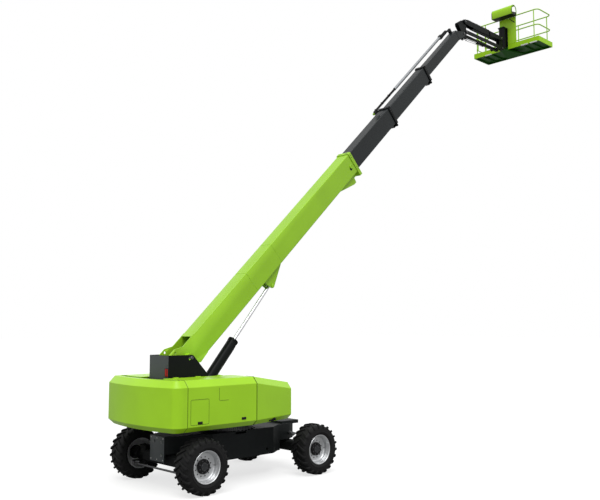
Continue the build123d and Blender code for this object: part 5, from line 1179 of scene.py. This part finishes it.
box = Shape().prism("y", BOX_OUTLINE, CONSOLE_Y[0] + 0.012, CONSOLE_Y[1] - 0.012)
box.round_off(0.006).done("control_box", "platform", "black_plastic")
controls = {finish: Shape() for finish in ("black_plastic", "red_button", "yellow_plastic", "grey_plastic")}
upwards = Vector((-CONTROL_SLOPE, 0, 1))
for finish, y, radius, height in CONTROLS:
    foot = Vector((CONTROL_X, y, CONTROL_Z - 0.004))
    controls[finish].rod(foot, foot + upwards.normalized() * (height + 0.004), radius, 0.002, 20)
for y in LEVERS_Y:
    controls["black_plastic"].lathe((11.591, y, 13.567), upwards, LEVER_KNOB, 20)
for finish, shape in controls.items():
    shape.done("controls_" + finish, "platform", finish)
# A thin black sheet on the panel stands for a slot as painted shade
slot = Shape().prism("x", [(-0.4, 13.2), (-0.36, 13.2), (-0.16, 13.37), (-0.2, 13.37)], 11.7025, 11.7045)
slot.done("panel_slot_painted_shade", "platform", "seal_rubber")
print("console done")

# %% [markdown]
# The chassis shows its bolts: round the slewing ring, on the rear cover plate, on the axles and on
# the kingpins. The ring's teeth are one tooth that is repeated round the machine's centre.

# %% Chassis details
REAR_PLATE_X = -1.7505
PORT = ((0, 0), (0, 0.03), (0.012, 0.03), (0.016, 0.026), (0.016, 0.014), (0.006, 0.012), (0.006, 0))
PORTS_AT = ((-0.16, 0.9), (0.12, 0.9), (-0.16, 0.64))
AXLE_BOLTS = ((-1.57, -1.43, 1.43, 1.57), 0.7, 0.6455)  # x, half width, z
RING_BOLTS, RING_TEETH = 40, 84
TOOTH = ((0.5385, -0.014), (0.5595, -0.006), (0.5595, 0.006), (0.5385, 0.014))
KINGPIN_Y, KINGPIN_TOP, KINGPIN_FOOT = 0.86, 0.664, 0.406
KINGPIN_CAP = ((-0.004, 0), (-0.004, 0.05), (0.006, 0.05), (0.01, 0.046), (0.01, 0))

rear_plate = Shape().box((REAR_PLATE_X, -0.248, 0.512), (-1.7452, 0.248, 1.006))
rear_plate.round_off(0.002).done("rear_cover_plate", "chassis", "plate_grey_and_painted_light")
rows = [((REAR_PLATE_X - 0.0003, y, z), (-1, 0, 0)) for y in (-0.21, 0.0, 0.21) for z in (0.55, 0.97)]
all_x, half, z = AXLE_BOLTS
rows += [((x, y, z), (0, 0, 1)) for x in all_x for y in (-half, half)]
fasteners("chassis_bolts", "chassis", 0.0095, rows)
ports = Shape()
for y, z in PORTS_AT:
    ports.lathe((-1.75, y, z), (-1, 0, 0), PORT, 28)
ports.done("rear_plate_bosses", "chassis", "bracket_grey")
rows = bolt_circle((0, 0, 1.0105), (0, 0, 1), 0.59, RING_BOLTS)
fasteners("slew_ring_bolts", "chassis", 0.011, rows, finish="dark_steel")
tooth = Shape(Matrix()).prism("z", TOOTH, 1.025, 1.085).plain("tooth")
start, turn = (MACHINE_X, 0, 0), (0, 0, math.tau / RING_TEETH)
teeth = grow("teeth", tooth, REPEAT, "dark_steel", count=RING_TEETH, start=start, turn=turn)
piece_on("slew_ring_teeth", teeth, "chassis", "dark_steel")
bracket = Shape().prism("y", [(1.36, 0.87), (1.48, 0.74), (1.59, 0.8)], -0.525, -0.5)
bracket.prism("y", [(1.42, 0.83), (1.48, 0.77), (1.53, 0.8)], -0.51, -0.33)
bracket.round_off(0.003).done("front_bracket", "chassis", "bracket_grey")
for corner, centre in WHEEL_CENTRES.items():
    y, place = math.copysign(KINGPIN_Y, centre.y), Matrix.Translation((centre.x, 0, 0))
    caps = Shape(place).lathe((0, y, KINGPIN_TOP), (0, 0, 1), KINGPIN_CAP)
    caps.lathe((0, y, KINGPIN_FOOT), (0, 0, -1), KINGPIN_CAP)
    caps.done("kingpin_caps_" + corner, "knuckle_" + corner, "dark_steel")
    rows = bolt_circle((0, y, KINGPIN_TOP + 0.01), (0, 0, 1), 0.035, 4, 0.5)
    fasteners("kingpin_bolts_" + corner, "knuckle_" + corner, 0.0045, rows, place)
print("chassis done")

# %% [markdown]
# Under the right hood stands the engine with its cooler, air cleaner and silencer. They show when
# the hood is raised. The cooler's core is one thin plate that is repeated.

# %% Engine
ENGINE_LOW, ENGINE_HIGH = (-1.585, -1.06, 1.25), (-0.535, -0.5, 1.87)
HOSE_LINES = (  # from the rear, out from the side, up
    ((0.3, 0.004, 0.14), (0.3, 0.045, 0.14), (0.95, 0.045, 0.1), (1.03, 0.03, 0.03)),
    ((0.4, 0.004, 0.09), (0.4, 0.04, 0.09), (0.89, 0.04, 0.05), (0.99, 0.03, 0.02)),
)

(low_x, low_y, low_z), (high_x, high_y, high_z) = ENGINE_LOW, ENGINE_HIGH
low = (low_x + 0.2, low_y + 0.16, high_z - 0.01)
covers = Shape().box(low, (high_x - 0.25, high_y - 0.16, high_z + 0.06))
covers.box((low_x + 0.12, low_y + 0.08, low_z + 0.18), (high_x - 0.16, low_y - 0.025, low_z + 0.36))
covers.round_off(0.012).done("engine_covers", "turntable", "black_paint")
for name, y, ends, radius, chamfer, finish in (
    ("air_cleaner", low_y + 0.13, (low_x + 0.62, high_x - 0.03), 0.08, 0.016, "black_plastic"),
    ("silencer", high_y - 0.1, (low_x + 0.18, high_x - 0.35), 0.075, 0.02, "galvanised"),
):
    first, last = [(x, y, high_z + 0.085) for x in ends]
    Shape().rod(first, last, radius, chamfer, 40).done(name, "turntable", finish)
fin = Shape(Matrix()).box((-0.0015, -0.24, -0.22), (0.0015, 0.24, 0.22)).plain("fin")
start = CHASSIS @ Vector((low_x - 0.075, (low_y + high_y) / 2, low_z + 0.29))
fins = grow("fins", fin, REPEAT, "engine_metal", count=11, start=start, step=(0.005, 0, 0))
piece_on("cooler_fins", fins, "turntable", "engine_metal")
cooler = Shape()
back, front = low_x - 0.085, low_x + 0.002
for y in (low_y, high_y - 0.02):
    cooler.box((back, y, low_z + 0.02), (front, y + 0.02, low_z + 0.56))
for z in (low_z + 0.02, low_z + 0.54):
    cooler.box((back, low_y, z), (front, high_y, z + 0.02))
cooler.round_off(0.003).done("cooler_frame", "turntable", "black_paint")
runs = [[(low_x + along, low_y - out, low_z + up) for along, out, up in line] for line in HOSE_LINES]
tubes("engine_hoses", "turntable", "hose_rubber", runs, 0.014, 0.05, 12)

# %% [markdown]
# Under the left hood are the fuel and oil tanks. Each has a filler cap, straps hold them down, and
# a gauge shows the level.

# %% Tanks
TANKS_LOW, TANKS_HIGH = (-1.635, 0.52, 1.25), (-0.485, 1.04, 1.81)
FILLER = ((0, 0), (0, 0.045), (0.012, 0.045), (0.016, 0.06), (0.04, 0.06), (0.046, 0.052), (0.046, 0))

(low_x, low_y, low_z), (high_x, high_y, high_z) = TANKS_LOW, TANKS_HIGH
caps = Shape()
for x in (low_x + 0.25, high_x - 0.25):
    caps.lathe((x, high_y - 0.15, high_z - 0.002), (0, 0, 1), FILLER)
caps.done("tank_caps", "turntable", "black_plastic")
straps = Shape()
for x in (low_x + 0.12, (low_x + high_x) / 2 + 0.06, high_x - 0.12):
    corner = (x + 0.02, high_y + 0.004, high_z + 0.003)
    straps.box((x - 0.02, low_y + 0.03, high_z - 0.001), corner)
    straps.box((x - 0.02, high_y - 0.001, low_z + 0.01), corner)
straps.round_off(0.001, 1).done("tank_straps", "turntable", "zinc")
low = (high_x - 0.32, high_y - 0.001, low_z + 0.1)
gauge = Shape().box(low, (high_x - 0.29, high_y + 0.01, low_z + 0.36))
gauge.round_off(0.003).done("level_gauge", "turntable", "clear_lens")
print("engine and tanks done")
